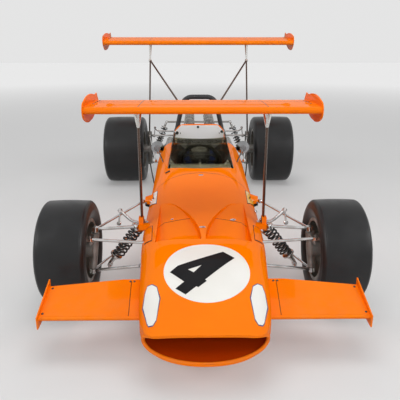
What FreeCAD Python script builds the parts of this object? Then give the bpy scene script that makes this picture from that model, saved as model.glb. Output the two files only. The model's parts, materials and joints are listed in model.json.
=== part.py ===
# Open wheel racing car of the late nineteen-sixties, with a front wing and a rear wing on tall struts.
# The car faces -Y and stands on z = 0. X points to the driver's left. All lengths are in millimetres.
import FreeCAD, Part
import Sketcher
import math
import os

doc = FreeCAD.newDocument("open_wheel_racing_car")
sheet = doc.addObject("Spreadsheet::Sheet", "Sizes")


# Sizes: a number from the sheet and the expression that gives it
class Size:
    """A length worked out from the sheet: its number, and the expression that gives the same number."""

    def __init__(self, value, text):
        self.value = float(value)
        self.text = text

    def __add__(self, other):
        return Size(self.value + number(other), "(%s + %s)" % (self.text, text(other)))

    def __radd__(self, other):
        return Size(number(other) + self.value, "(%s + %s)" % (text(other), self.text))

    def __sub__(self, other):
        return Size(self.value - number(other), "(%s - %s)" % (self.text, text(other)))

    def __rsub__(self, other):
        return Size(number(other) - self.value, "(%s - %s)" % (text(other), self.text))

    def __mul__(self, other):
        return Size(self.value * number(other), "(%s * %s)" % (self.text, text(other)))

    def __rmul__(self, other):
        return Size(number(other) * self.value, "(%s * %s)" % (text(other), self.text))

    def __truediv__(self, other):
        return Size(self.value / number(other), "(%s / %s)" % (self.text, text(other)))

    def __neg__(self):
        return Size(-self.value, "(-%s)" % self.text)


def number(amount):
    """The plain number of a size."""
    return amount.value if isinstance(amount, Size) else float(amount)


def text(amount):
    """The expression text of a size."""
    return amount.text if isinstance(amount, Size) else "%.9g" % amount


rows = []


def size(alias, value):
    """Keep one driving dimension in the sheet and hand it back as a size."""
    rows.append(alias)
    cell = "B%d" % len(rows)
    sheet.set("A%d" % len(rows), alias)
    sheet.set(cell, "%.9g" % value)
    sheet.setAlias(cell, alias)
    return Size(value, "Sizes." + alias)


# Overall sizes
wheelbase = size("wheelbase", 2413)
track = size("track", 1473)
front_overhang = size("front_overhang", 825)
rear_overhang = size("rear_overhang", 700)
seat_gap = size("seat_gap", 0.3)
overrun = size("overrun", 40)

# Wheels and tyres
front_tyre_radius = size("front_tyre_radius", 280)
front_tyre_width = size("front_tyre_width", 264)
front_rim_radius = size("front_rim_radius", 165)
front_rim_width = size("front_rim_width", 228)
rear_tyre_radius = size("rear_tyre_radius", 330)
rear_tyre_width = size("rear_tyre_width", 396)
rear_rim_radius = size("rear_rim_radius", 190)
rear_rim_width = size("rear_rim_width", 356)
tread_crown = size("tread_crown", 9)
shoulder_round = size("shoulder_round", 26)
tread_inset = size("tread_inset", 12)
rim_lip = size("rim_lip", 9)
rim_lip_height = size("rim_lip_height", 13)
rim_wall = size("rim_wall", 7)
wheel_web = size("wheel_web", 16)
front_web_place = size("front_web_place", 28)
rear_web_place = size("rear_web_place", 60)
hub_radius = size("hub_radius", 44)
hub_reach_out = size("hub_reach_out", 34)
hub_reach_in = size("hub_reach_in", 46)
spindle_radius = size("spindle_radius", 19)
bearing_gap = size("bearing_gap", 0.4)
nut_radius = size("nut_radius", 36)
window_inner = size("window_inner", 66)
window_margin = size("window_margin", 16)
spoke_width = size("spoke_width", 46)
disc_radius = size("disc_radius", 138)
disc_thickness = size("disc_thickness", 12)
disc_place = size("disc_place", 30)

# Body
ride_height = size("ride_height", 108)
body_half_width = size("body_half_width", 346)
body_height = size("body_height", 468)
tub_ahead = size("tub_ahead", 243.5)
tub_length = size("tub_length", 1881.5)
tub_wall = size("tub_wall", 62)
rod_slot = size("rod_slot", 38)
cowl_wall = size("cowl_wall", 8)
cowl_seam_height = size("cowl_seam_height", 338)
nose_wall = size("nose_wall", 10)
nose_half_width = size("nose_half_width", 320)
nose_height = size("nose_height", 338)
nose_tip_depth = size("nose_tip_depth", 185)
nose_low_lip_z = size("nose_low_lip_z", 132)
nose_high_lip_z = size("nose_high_lip_z", 190)
cockpit_half_width = size("cockpit_half_width", 232)
cockpit_end_set = size("cockpit_end_set", 83)
cockpit_length = size("cockpit_length", 841)
cockpit_corner = size("cockpit_corner", 60)
duct_outer_x = size("duct_outer_x", 245)
duct_inner_x = size("duct_inner_x", 15.5)
duct_waist_x = size("duct_waist_x", 53)
duct_waist_back = size("duct_waist_back", 242)
duct_back_x = size("duct_back_x", 158)
duct_back = size("duct_back", 412)
duct_length = size("duct_length", 457)
duct_wall = size("duct_wall", 6)

# Front suspension and steering
upper_ball_inset = size("upper_ball_inset", 144.5)
upper_ball_z = size("upper_ball_z", 404)
lower_ball_inset = size("lower_ball_inset", 112.5)
lower_ball_z = size("lower_ball_z", 152)
joint_radius = size("joint_radius", 17)
joint_height = size("joint_height", 26)
upright_radius = size("upright_radius", 23)
stud_radius = size("stud_radius", 10)
stud_length = size("stud_length", 8)
link_radius = size("link_radius", 9)
slim_link_radius = size("slim_link_radius", 7)
rod_end_radius = size("rod_end_radius", 15)
upper_pickup_x = size("upper_pickup_x", 366)
lower_pickup_x = size("lower_pickup_x", 350)
ear_half_width = size("ear_half_width", 18)
ear_half_height = size("ear_half_height", 14)
fairing_root_x = size("fairing_root_x", 300)
fairing_root_radius = size("fairing_root_radius", 46)
fairing_tip_radius = size("fairing_tip_radius", 30)
fairing_gap = size("fairing_gap", 2)
tower_in_x = size("tower_in_x", 258)
tower_width = size("tower_width", 32)
lug_width = size("lug_width", 26)
damper_pin = size("damper_pin", 7)
upper_pickup_z = size("upper_pickup_z", 418)
lower_pickup_z = size("lower_pickup_z", 178)
upper_trail = size("upper_trail", 370)
upper_trail_z = size("upper_trail_z", 440)
lower_trail = size("lower_trail", 560)
lower_trail_z = size("lower_trail_z", 205)
arm_length = size("arm_length", 116)
arm_height = size("arm_height", 364)
arm_pin_radius = size("arm_pin_radius", 4.5)
arm_pin_height = size("arm_pin_height", 46)
tie_eye_bore = size("tie_eye_bore", 10)
tie_eye_radius = size("tie_eye_radius", 14)
tie_eye_height = size("tie_eye_height", 16)
tie_rod_radius = size("tie_rod_radius", 8)
arc_drift = size("arc_drift", 2.2)
rack_half = size("rack_half", 225)
rack_radius = size("rack_radius", 12)
rack_house_half = size("rack_house_half", 150)
rack_house_radius = size("rack_house_radius", 27)
caliper_width = size("caliper_width", 52)
caliper_height = size("caliper_height", 72)
caliper_gap = size("caliper_gap", 5)
column_radius = size("column_radius", 11)
wheel_rim_radius = size("wheel_rim_radius", 138)
wheel_rim_tube = size("wheel_rim_tube", 13)
steering_set = size("steering_set", 436)
steering_z = size("steering_z", 512)
steering_rake = size("steering_rake", 18)

# Wings
front_wing_half = size("front_wing_half", 617)
front_wing_chord = size("front_wing_chord", 400)
front_wing_depth = size("front_wing_depth", 36)
front_wing_z = size("front_wing_z", 1032)
front_wing_ahead = size("front_wing_ahead", 6)
front_wing_rise = size("front_wing_rise", 28)
end_plate_wall = size("end_plate_wall", 6)
front_strut_x = size("front_strut_x", 335)
front_strut_set = size("front_strut_set", 22)
front_brace_spread = size("front_brace_spread", 20)
front_strut_foot = size("front_strut_foot", 470)
strut_chord = size("strut_chord", 34)
strut_width = size("strut_width", 15)
rear_wing_half = size("rear_wing_half", 918)
rear_wing_chord = size("rear_wing_chord", 420)
rear_wing_depth = size("rear_wing_depth", 40)
rear_wing_z = size("rear_wing_z", 1353)
rear_wing_ahead = size("rear_wing_ahead", 50)
rear_wing_rise = size("rear_wing_rise", 75)
rear_strut_x = size("rear_strut_x", 470)
rear_strut_foot = size("rear_strut_foot", 512)
strut_foot_gap = size("strut_foot_gap", 0.9)
rear_clamp_z = size("rear_clamp_z", 1210)
stay_radius = size("stay_radius", 8)

# Nose, fins, radiator
radiator_ahead = size("radiator_ahead", 158.5)
radiator_half = size("radiator_half", 250)
radiator_depth = size("radiator_depth", 70)
radiator_height = size("radiator_height", 235)
fin_lead_ahead = size("fin_lead_ahead", 592)
fin_trail_ahead = size("fin_trail_ahead", 345)
fin_lead_z = size("fin_lead_z", 205)
fin_trail_z = size("fin_trail_z", 275)
fin_depth = size("fin_depth", 16)
fin_root = size("fin_root", 270)
fin_tip = size("fin_tip", 745)
fin_sweep = size("fin_sweep", 45)
fin_plate_drop = size("fin_plate_drop", 40)
fin_plate_rise = size("fin_plate_rise", 18)

# Cockpit
screen_run = size("screen_run", 581)
screen_foot_z = size("screen_foot_z", 545)
screen_top_z = size("screen_top_z", 700)
screen_wall = size("screen_wall", 4)
screen_lean = size("screen_lean", 40)
screen_sweep = size("screen_sweep", 341)
seat_half = size("seat_half", 190)
seat_reach = size("seat_reach", 150)
seat_top_z = size("seat_top_z", 505)
dash_set = size("dash_set", 191)
dash_wall = size("dash_wall", 6)
dash_low_z = size("dash_low_z", 440)
dash_high_z = size("dash_high_z", 540)
head_half = size("head_half", 205)
head_top_z = size("head_top_z", 716)
head_corner = size("head_corner", 50)
head_set = size("head_set", 66)
head_wall = size("head_wall", 30)
hoop_set = size("hoop_set", 30)
hoop_foot_x = size("hoop_foot_x", 230)
hoop_shoulder_x = size("hoop_shoulder_x", 130)
hoop_top_z = size("hoop_top_z", 946)
hoop_radius = size("hoop_radius", 19)
hoop_bend = size("hoop_bend", 85)
mirror_x = size("mirror_x", 317)
mirror_set = size("mirror_set", 292)
mirror_z = size("mirror_z", 637)
mirror_depth = size("mirror_depth", 42)
mirror_foot_x = size("mirror_foot_x", 268)
mirror_foot_z = size("mirror_foot_z", 520)
mirror_radius = size("mirror_radius", 48)
mirror_stalk = size("mirror_stalk", 5)

# Engine, gearbox and exhausts
engine_length = size("engine_length", 545)
sump_half = size("sump_half", 125)
engine_low_z = size("engine_low_z", 122)
crank_half = size("crank_half", 165)
crank_z = size("crank_z", 300)
head_out_x = size("head_out_x", 292)
head_out_z = size("head_out_z", 452)
head_top_x = size("head_top_x", 185)
head_crest_z = size("head_crest_z", 548)
valley_x = size("valley_x", 60)
valley_z = size("valley_z", 440)
cam_cover_set = size("cam_cover_set", 12)
cam_cover_radius = size("cam_cover_radius", 36)
trumpet_x = size("trumpet_x", 87)
trumpet_top_z = size("trumpet_top_z", 755)
trumpet_radius = size("trumpet_radius", 25)
trumpet_flare = size("trumpet_flare", 30)
dome_radius = size("dome_radius", 44)
gearbox_low_z = size("gearbox_low_z", 190)
gearbox_high_z = size("gearbox_high_z", 440)
gearbox_tail = size("gearbox_tail", 330)
selector_length = size("selector_length", 60)
jack_reach = size("jack_reach", 45)
jack_pin_radius = size("jack_pin_radius", 12)
jack_pin_length = size("jack_pin_length", 62)
jack_tube_radius = size("jack_tube_radius", 11)
jack_half = size("jack_half", 160)
selector_radius = size("selector_radius", 55)
collector_x = size("collector_x", 235)
collector_behind = size("collector_behind", 170)
collector_z = size("collector_z", 405)
port_x = size("port_x", 235)
port_z = size("port_z", 410)
primary_reach = size("primary_reach", 85)
primary_run = size("primary_run", 90)
primary_drop = size("primary_drop", 120)
primary_radius = size("primary_radius", 20)
primary_bend = size("primary_bend", 40)
tailpipe_radius = size("tailpipe_radius", 42)

# Steering wheel and column
spoke_radius = size("spoke_radius", 8)
wheel_hub_radius = size("wheel_hub_radius", 30)
wheel_hub_height = size("wheel_hub_height", 30)
column_length = size("column_length", 330)
tie_lift = size("tie_lift", 26)

# Wing details
trail_wall = size("trail_wall", 4)
front_plate_height = size("front_plate_height", 135)
rear_plate_height = size("rear_plate_height", 168)
front_bracket_drop = size("front_bracket_drop", 82)
link_wall = size("link_wall", 6)

# Dampers
damper_radius = size("damper_radius", 14)
spring_radius = size("spring_radius", 36)
damper_foot_in = size("damper_foot_in", 90)
damper_offset = size("damper_offset", 62)
damper_top_x = size("damper_top_x", 335)
damper_top_z = size("damper_top_z", 425)
rear_damper_top_x = size("rear_damper_top_x", 330)
rear_damper_top_z = size("rear_damper_top_z", 590)
rear_damper_foot_inset = size("rear_damper_foot_inset", 30)
rear_damper_lift = size("rear_damper_lift", 75)

# Rear suspension
rear_upright_inset = size("rear_upright_inset", 236.5)
rear_lower_z = size("rear_lower_z", 175)
rear_upper_z = size("rear_upper_z", 470)
rear_base = size("rear_base", 60)
half_shaft_radius = size("half_shaft_radius", 17)
shaft_joint_radius = size("shaft_joint_radius", 44)
flange_length = size("flange_length", 38)
gearbox_half = size("gearbox_half", 105)
radius_rod_x = size("radius_rod_x", 368)
radius_rod_seat = size("radius_rod_seat", 240)
radius_rod_upper_z = size("radius_rod_upper_z", 452)
radius_rod_lower_z = size("radius_rod_lower_z", 200)

# Lengths that follow from the others
length = front_overhang + wheelbase + rear_overhang
nose_y = -length / 2
front_axle = nose_y + front_overhang
rear_axle = front_axle + wheelbase
half_track = track / 2
upper_ball_x = half_track - upper_ball_inset
lower_ball_x = half_track - lower_ball_inset
rear_upright_x = half_track - rear_upright_inset
rear_damper_foot_x = rear_upright_x - rear_damper_foot_inset
tub_front = front_axle - tub_ahead
tub_back = tub_front + tub_length
hole_back = tub_back - cockpit_end_set
hole_front = hole_back - cockpit_length

# Shares and counts that shape the outlines
match_limit = 0.01
spokes = 4
window_high_share = 0.72
window_reach_share = 0.97
caliper_reach_share = 0.97
section_points = 15
mirror_taper_share = 0.5
stub_share = 0.8
cylinders_per_bank = 4
cylinder_middle_share = 0.5
cover_place_shares = (0.25, 0.85)
spring_span_shares = (0.15, 0.8)
wheel_spoke_turns = (60, 180, 300)
crown_share = 0.12
belly_share = 0.25
low_lip_shares = [(1.05, 1.70), (0.90, 0.95), (0.819, 0.67), (0.734, 0.48), (0.594, 0.29), (0.0, 0.01)]
high_lip_shares = [(1.05, 1.70), (0.895, 0.85), (0.819, 0.48), (0.766, 0.31), (0.594, 0.18), (0.0, 0.15)]
body_station_shares = [
    (0.00, 0.925, 0.709, 4.2, 0.0),
    (0.2416, 0.965, 0.830, 3.8, 0.0),
    (0.5623, 0.970, 0.985, 3.4, 0.0),
    (0.786, 1.000, 1.000, 3.4, 0.0),
    (1.00, 0.990, 1.000, 3.6, 0.0),
]
duct_station_shares = [
    (-0.02, 0.925, 0.560, 4.2, 0.0),
    (0.26, 0.970, 0.850, 3.8, 0.0),
]
nose_station_shares = [
    (-0.0654, 0.74, 0.352, 3.4, 0.065),
    (0.1307, 0.84, 0.507, 3.4, 0.030),
    (0.5437, 0.94, 0.808, 3.6, 0.0),
    (1.00, 1.000, 1.00, 4.0, 0.0),
]
front_plate_shares = [
    (1.075, 0.20), (0.9725, 0.53), (0.87, 0.50, 0.72, 0.555), (0.32, 0.59, 0.10, 0.46),
    (-0.012, 0.15, 0.06, -0.222), (0.219, -0.389, 0.455, -0.4185), (0.61, -0.38, 0.75, -0.26),
]
rear_plate_shares = [
    (1.22, 0.443), (1.139, 0.717), (0.98, 0.645, 0.80, 0.655), (0.40, 0.64, 0.12, 0.51),
    (0.0, 0.30, 0.03, 0.0), (0.16, -0.22, 0.363, -0.286), (0.60, -0.22, 0.846, -0.03),
]

nodes = []


# Small makers that every sub-part uses
def point(x, y, z):
    """A vector from three sizes."""
    return FreeCAD.Vector(number(x), number(y), number(z))


def bind(thing, prop, amount):
    """Tie one property of an object to its expression."""
    thing.setExpression(prop, text(amount))


def put(thing, x, y, z):
    """Place an object, each coordinate bound to its own size."""
    thing.Placement.Base = point(x, y, z)
    bind(thing, "Placement.Base.x", x)
    bind(thing, "Placement.Base.y", y)
    bind(thing, "Placement.Base.z", z)
    return thing


def distance(start, end):
    """The length between two points, each a tuple of three sizes."""
    steps = [number(b) - number(a) for a, b in zip(start, end)]
    squares = " + ".join("(%s - %s)^2" % (text(b), text(a)) for a, b in zip(start, end))
    return Size(math.sqrt(sum(step * step for step in steps)), "sqrt(%s)" % squares)


def box(x0, x1, y0, y1, z0, z1):
    """A block between two corners."""
    block = doc.addObject("Part::Box", "Block")
    bind(block, "Length", x1 - x0)
    bind(block, "Width", y1 - y0)
    bind(block, "Height", z1 - z0)
    return put(block, x0, y0, z0)


def rod(start, end, radius):
    """A round bar from one point to another."""
    bar = doc.addObject("Part::Cylinder", "Bar")
    bind(bar, "Radius", radius)
    bind(bar, "Height", distance(start, end))
    way = point(*end) - point(*start)
    put(bar, *start)
    bar.Placement.Rotation = FreeCAD.Rotation(FreeCAD.Vector(0, 0, 1), way)
    return bar


def ball(place, radius):
    """A ball at a point."""
    sphere = doc.addObject("Part::Sphere", "Ball")
    bind(sphere, "Radius", radius)
    return put(sphere, *place)


def cone(start, end, radius_start, radius_end):
    """A tapered bar from one point to another."""
    taper = doc.addObject("Part::Cone", "Taper")
    bind(taper, "Radius1", radius_start)
    bind(taper, "Radius2", radius_end)
    bind(taper, "Height", distance(start, end))
    way = point(*end) - point(*start)
    put(taper, *start)
    taper.Placement.Rotation = FreeCAD.Rotation(FreeCAD.Vector(0, 0, 1), way)
    return taper


def fuse(pieces):
    """One solid from pieces that overlap."""
    joined = doc.addObject("Part::MultiFuse", "Joined")
    joined.Shapes = pieces
    return joined


def cut(base, tool):
    """The base without the tool."""
    rest = doc.addObject("Part::Cut", "Cut")
    rest.Base = base
    rest.Tool = tool
    return rest


def common(base, tool):
    """What two solids share."""
    shared = doc.addObject("Part::Common", "Shared")
    shared.Base = base
    shared.Tool = tool
    return shared


def group(pieces):
    """Solids that stay apart in one node."""
    kept = doc.addObject("Part::Compound", "Group")
    kept.Links = pieces
    return kept


def shaped(name, shape):
    """An object whose shape is made by functions."""
    thing = doc.addObject("Part::Feature", name)
    thing.Shape = shape
    return thing


def node(label, thing):
    """Name a finished sub-part and list it for export."""
    thing.Label = label
    nodes.append(thing)
    return thing


def bent(places, radius, bend):
    """A round tube through places, with an arc of one bend radius at each inner place."""
    spots = [point(*place) for place in places]
    edges = []
    here = spots[0]
    for before, corner, after in zip(spots, spots[1:], spots[2:]):
        into = (corner - before).normalize()
        out = (after - corner).normalize()
        turn = into.getAngle(out)
        back = number(bend) * math.tan(turn / 2)
        first = corner - into * back
        last = corner + out * back
        towards = (out - into).normalize()
        middle = corner + towards * (number(bend) / math.cos(turn / 2) - number(bend))
        edges.append(Part.LineSegment(here, first).toShape())
        edges.append(Part.Arc(first, middle, last).toShape())
        here = last
    edges.append(Part.LineSegment(here, spots[-1]).toShape())
    spine = shaped("Route", Part.Wire(edges))
    ring = doc.addObject("Part::Circle", "Ring")
    bind(ring, "Radius", radius)
    put(ring, *places[0])
    ring.Placement.Rotation = FreeCAD.Rotation(FreeCAD.Vector(0, 0, 1), spots[1] - spots[0])
    sweep = doc.addObject("Part::Sweep", "Tube")
    sweep.Sections = [ring]
    sweep.Spine = (spine, ["Edge%d" % (i + 1) for i in range(len(edges))])
    sweep.Solid = True
    sweep.Frenet = False
    return sweep


# Sketches on a body's own planes
def new_body(name):
    """An empty body."""
    return doc.addObject("PartDesign::Body", name)


def plane_of(body, role):
    """One of a body's three origin planes."""
    return [f for f in body.Origin.OriginFeatures if f.Role == role][0]


def sketch(body, role, outline, offset=None):
    """A closed outline: each entry is a corner (u, v), or an arc's middle and its end (mu, mv, u, v)."""
    drawn = body.newObject("Sketcher::SketchObject", "Outline")
    drawn.AttachmentSupport = [(plane_of(body, role), "")]
    drawn.MapMode = "FlatFace"
    if offset is not None:
        drawn.AttachmentOffset = FreeCAD.Placement(FreeCAD.Vector(0, 0, number(offset)), FreeCAD.Rotation())
        bind(drawn, "AttachmentOffset.Base.z", offset)
    count = len(outline)
    ends = [(entry[-2], entry[-1]) for entry in outline]
    flat = [FreeCAD.Vector(number(u), number(v), 0) for u, v in ends]
    marks = {}
    turned = {}
    for index in range(count):
        start, end = flat[index], flat[(index + 1) % count]
        entry = outline[(index + 1) % count]
        turned[index] = False
        if len(entry) == 2:
            drawn.addGeometry(Part.LineSegment(start, end))
            continue
        middle = FreeCAD.Vector(number(entry[0]), number(entry[1]), 0)
        turned[index] = (middle - start).cross(end - middle).z < 0
        drawn.addGeometry(Part.Arc(end, middle, start) if turned[index] else Part.Arc(start, middle, end))
    for index in range(count):
        entry = outline[(index + 1) % count]
        if len(entry) == 4:
            middle = FreeCAD.Vector(number(entry[0]), number(entry[1]), 0)
            marks[index] = drawn.addGeometry(Part.Point(middle), True)
    for index in range(count):
        after = (index + 1) % count
        near = 1 if turned[index] else 2
        far = 2 if turned[after] else 1
        drawn.addConstraint(Sketcher.Constraint("Coincident", index, near, after, far))
    for index in range(count):
        corner = 2 if turned[index] else 1
        pin(drawn, index, corner, ends[index])
        if index in marks:
            entry = outline[(index + 1) % count]
            pin(drawn, marks[index], 1, (entry[0], entry[1]))
            drawn.addConstraint(Sketcher.Constraint("PointOnObject", marks[index], 1, index))
    return drawn


def pin(drawn, index, corner, place):
    """Bind one sketch point to its two coordinates."""
    for kind, amount in zip(("DistanceX", "DistanceY"), place):
        row = drawn.addConstraint(Sketcher.Constraint(kind, -1, 1, index, corner, number(amount)))
        drawn.setExpression("Constraints[%d]" % row, text(amount))


def pad(body, drawn, depth, both_ways=True):
    """Thicken a sketch."""
    grown = body.newObject("PartDesign::Pad", "Pad")
    grown.Profile = drawn
    grown.SideType = "Symmetric" if both_ways else "One side"
    bind(grown, "Length", depth)
    return grown


def revolve(body, drawn):
    """Turn a sketch about its own horizontal axis."""
    turned = body.newObject("PartDesign::Revolution", "Revolution")
    turned.Profile = drawn
    turned.ReferenceAxis = (drawn, ["H_Axis"])
    turned.Angle = 360
    return turned


# Wheels: tyre, cast wheel with spokes, brake disc. The outline's u runs along the axle, outwards.
def tyre(label, side, axle, radius, width, rim_radius, rim_width):
    """A slick tyre, revolved about the axle, with rounded shoulders."""
    body = new_body("Tyre")
    bead = rim_radius + seat_gap
    half = width / 2
    tread = half - tread_inset
    shoulder = radius - tread_crown
    wall_middle = (shoulder + bead) / 2 + rim_lip_height / 2
    seat = rim_width / 2 - rim_lip - seat_gap
    lip = rim_radius + rim_lip_height + seat_gap
    drawn = sketch(body, "XY_Plane", [
        (-half, wall_middle, -seat, lip), (-seat, bead), (seat, bead), (seat, lip),
        (half, wall_middle, tread, shoulder),
        (0, radius, -tread, shoulder),
    ])
    turned = revolve(body, drawn)
    doc.recompute()
    edges = []
    for index, edge in enumerate(turned.Shape.Edges):
        bounds = edge.BoundBox
        if bounds.XLength < match_limit and abs(bounds.YLength / 2 - shoulder.value) < match_limit:
            edges.append("Edge%d" % (index + 1))
    rounded = body.newObject("PartDesign::Fillet", "Shoulders")
    rounded.Base = (turned, edges)
    bind(rounded, "Radius", shoulder_round)
    body.Tip = rounded
    put(body, side * half_track, axle, radius)
    return node(label, body)


def rim(label, side, axle, tyre_radius, rim_radius, rim_width, web_place):
    """A cast wheel: barrel with lips, web with four windows, hub with its bore, and the centre nut."""
    body = new_body("Rim")
    half = rim_width / 2
    seat = half - rim_lip
    lip = rim_radius + rim_lip_height
    inside = rim_radius - rim_wall
    web_in = side * web_place
    web_out = side * (web_place + wheel_web)
    hub_out = side * (web_place + hub_reach_out)
    hub_in = -side * hub_reach_in
    bore = spindle_radius + bearing_gap
    bore_end = side * (web_place + hub_reach_out - wheel_web)
    drawn = sketch(body, "XY_Plane", [
        (-side * half, lip), (-side * seat, lip), (-side * seat, rim_radius), (side * seat, rim_radius),
        (side * seat, lip), (side * half, lip), (side * half, inside), (web_out, inside),
        (web_out, hub_radius), (hub_out, nut_radius), (hub_out, 0), (bore_end, 0),
        (bore_end, bore), (hub_in, bore), (hub_in, hub_radius), (web_in, hub_radius),
        (web_in, inside), (-side * half, inside),
    ])
    turned = revolve(body, drawn)
    doc.recompute()
    outer = inside - window_margin
    half_spoke = spoke_width / 2
    low = window_inner
    high = outer * window_high_share
    reach = outer * window_reach_share
    window = sketch(body, "YZ_Plane", [
        (low, half_spoke), (reach, half_spoke), (high, high, half_spoke, reach), (half_spoke, low),
    ])
    cut_out = body.newObject("PartDesign::Pocket", "Window")
    cut_out.Profile = window
    cut_out.SideType = "Symmetric"
    bind(cut_out, "Length", rim_width * 2)
    doc.recompute()
    ring = body.newObject("PartDesign::PolarPattern", "Windows")
    ring.Originals = [cut_out]
    ring.Axis = (window, ["N_Axis"])
    ring.Angle = 360
    ring.Occurrences = spokes
    body.Tip = ring
    put(body, side * half_track, axle, tyre_radius)
    return node(label, body)


def brake_disc(label, side, axle, radius):
    """A plain disc seated on the hub, inside the wheel."""
    body = new_body("Disc")
    near = -side * disc_place
    far = -side * (disc_place + disc_thickness)
    inner = hub_radius + seat_gap
    drawn = sketch(body, "XY_Plane", [
        (near, inner), (near, disc_radius), (far, disc_radius), (far, inner),
    ])
    revolve(body, drawn)
    put(body, side * half_track, axle, radius)
    return node(label, body)


front_wheel = (front_tyre_radius, front_tyre_width, front_rim_radius, front_rim_width, front_web_place)
rear_wheel = (rear_tyre_radius, rear_tyre_width, rear_rim_radius, rear_rim_width, rear_web_place)
for end, axle, sizes in (("front", front_axle, front_wheel), ("rear", rear_axle, rear_wheel)):
    tyre_radius, tyre_width, rim_radius, rim_width, web_place = sizes
    for hand, side in (("left", 1), ("right", -1)):
        corner = end + "_" + hand
        tyre(corner + "_tyre", side, axle, tyre_radius, tyre_width, rim_radius, rim_width)
        rim(corner + "_rim", side, axle, tyre_radius, rim_radius, rim_width, web_place)
        brake_disc(corner + "_brake_disc", side, axle, tyre_radius)


# Front knuckles, each turning about the line through its two ball joints
def on_kingpin(side, height):
    """The point of the steering axis at a height."""
    share = (height - lower_ball_z) / (upper_ball_z - lower_ball_z)
    return (side * (lower_ball_x + share * (upper_ball_x - lower_ball_x)), front_axle, height)


arm_x = on_kingpin(1, arm_height)[0]


def knuckle(label, side):
    """Upright post, spindle, steering arm with its pin, and the brake caliper."""
    half_joint = joint_height / 2 + seat_gap
    stud = rod(on_kingpin(side, lower_ball_z + half_joint), on_kingpin(side, upper_ball_z - half_joint),
               stud_radius)
    low = on_kingpin(side, lower_ball_z + half_joint + stud_length)
    high = on_kingpin(side, upper_ball_z - half_joint - stud_length)
    axle_height = front_tyre_radius
    middle = on_kingpin(side, axle_height)
    hub_face = half_track - hub_reach_in - seat_gap
    tip = half_track + front_web_place + hub_reach_out - wheel_web * 2
    post = rod(low, high, upright_radius)
    face = (side * hub_face, front_axle, axle_height)
    boss = rod(middle, face, hub_radius)
    spindle = rod(face, (side * tip, front_axle, axle_height), spindle_radius)
    arm_end = (side * arm_x, front_axle - arm_length, arm_height)
    arm = rod(on_kingpin(side, arm_height), arm_end, link_radius)
    pin_low = (side * arm_x, front_axle - arm_length, arm_height)
    pin_high = (side * arm_x, front_axle - arm_length, arm_height + arm_pin_height)
    arm_pin = rod(pin_low, pin_high, arm_pin_radius)
    disc_in = half_track - disc_place - disc_thickness
    disc_out = half_track - disc_place
    block_in = disc_in - caliper_width / 2
    block_out = disc_out + caliper_width / 2
    rim_inside = front_rim_radius - rim_wall - caliper_gap
    y_in = front_axle + hub_radius + caliper_gap
    y_out = front_axle + rim_inside * caliper_reach_share
    z0 = axle_height - caliper_height / 2
    z1 = axle_height + caliper_height / 2
    left, right = sorted([side * block_in, side * block_out], key=number)
    slot_left, slot_right = sorted([side * (disc_in - caliper_gap), side * (disc_out + caliper_gap)],
                                   key=number)
    block = box(left, right, y_in, y_out, z0, z1)
    slot = box(slot_left, slot_right, y_in - overrun, front_axle + disc_radius + caliper_gap,
               z0 - overrun, z1 + overrun)
    caliper = cut(block, slot)
    bracket_end = (side * block_in + side * link_radius, y_in + link_radius, axle_height)
    bracket = rod(middle, bracket_end, link_radius)
    return node(label, fuse([stud, post, boss, spindle, arm, arm_pin, caliper, bracket]))


knuckle("front_left_knuckle", 1)
knuckle("front_right_knuckle", -1)


# Front suspension links, fixed: the suspension has no joint
def joint_housing(side, height):
    """The ball joint's round housing, in line with the steering axis."""
    return rod(on_kingpin(side, height - joint_height / 2), on_kingpin(side, height + joint_height / 2),
               joint_radius)


def upper_pickups(side):
    """The inner ends of the upper lateral link and the upper trailing link."""
    return ((side * upper_pickup_x, front_axle, upper_pickup_z),
            (side * upper_pickup_x, front_axle + upper_trail, upper_trail_z))


def lower_pickups(side):
    """The inner ends of the lower lateral link and the lower trailing link."""
    return ((side * lower_pickup_x, front_axle, lower_pickup_z),
            (side * lower_pickup_x, front_axle + lower_trail, lower_trail_z))


def front_damper_foot(side):
    """The damper's lower eye, beside the lower lateral link."""
    share = damper_foot_in / (lower_ball_x - lower_pickup_x)
    return (side * (lower_ball_x - damper_foot_in), front_axle + damper_offset,
            lower_ball_z + (lower_pickup_z - lower_ball_z) * share)


def front_links(hand, side):
    """The upper pair and the lower pair of links at one front corner."""
    upper = on_kingpin(side, upper_ball_z)
    lower = on_kingpin(side, lower_ball_z)
    upper_in, upper_back = upper_pickups(side)
    lower_in, lower_back = lower_pickups(side)
    damper_eye = front_damper_foot(side)
    on_link = (damper_eye[0], front_axle, damper_eye[2])
    pin_end = (damper_eye[0], front_axle + damper_offset - rod_end_radius - seat_gap, damper_eye[2])
    node("front_%s_upper_links" % hand, fuse([
        joint_housing(side, upper_ball_z), rod(upper, upper_in, link_radius), ball(upper_in, rod_end_radius),
        rod(upper, upper_back, slim_link_radius), ball(upper_back, rod_end_radius)]))
    node("front_%s_lower_links" % hand, fuse([
        joint_housing(side, lower_ball_z), rod(lower, lower_in, link_radius), ball(lower_in, rod_end_radius),
        rod(on_link, pin_end, damper_pin),
        rod(lower, lower_back, slim_link_radius), ball(lower_back, rod_end_radius)]))


front_links("left", 1)
front_links("right", -1)


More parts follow.
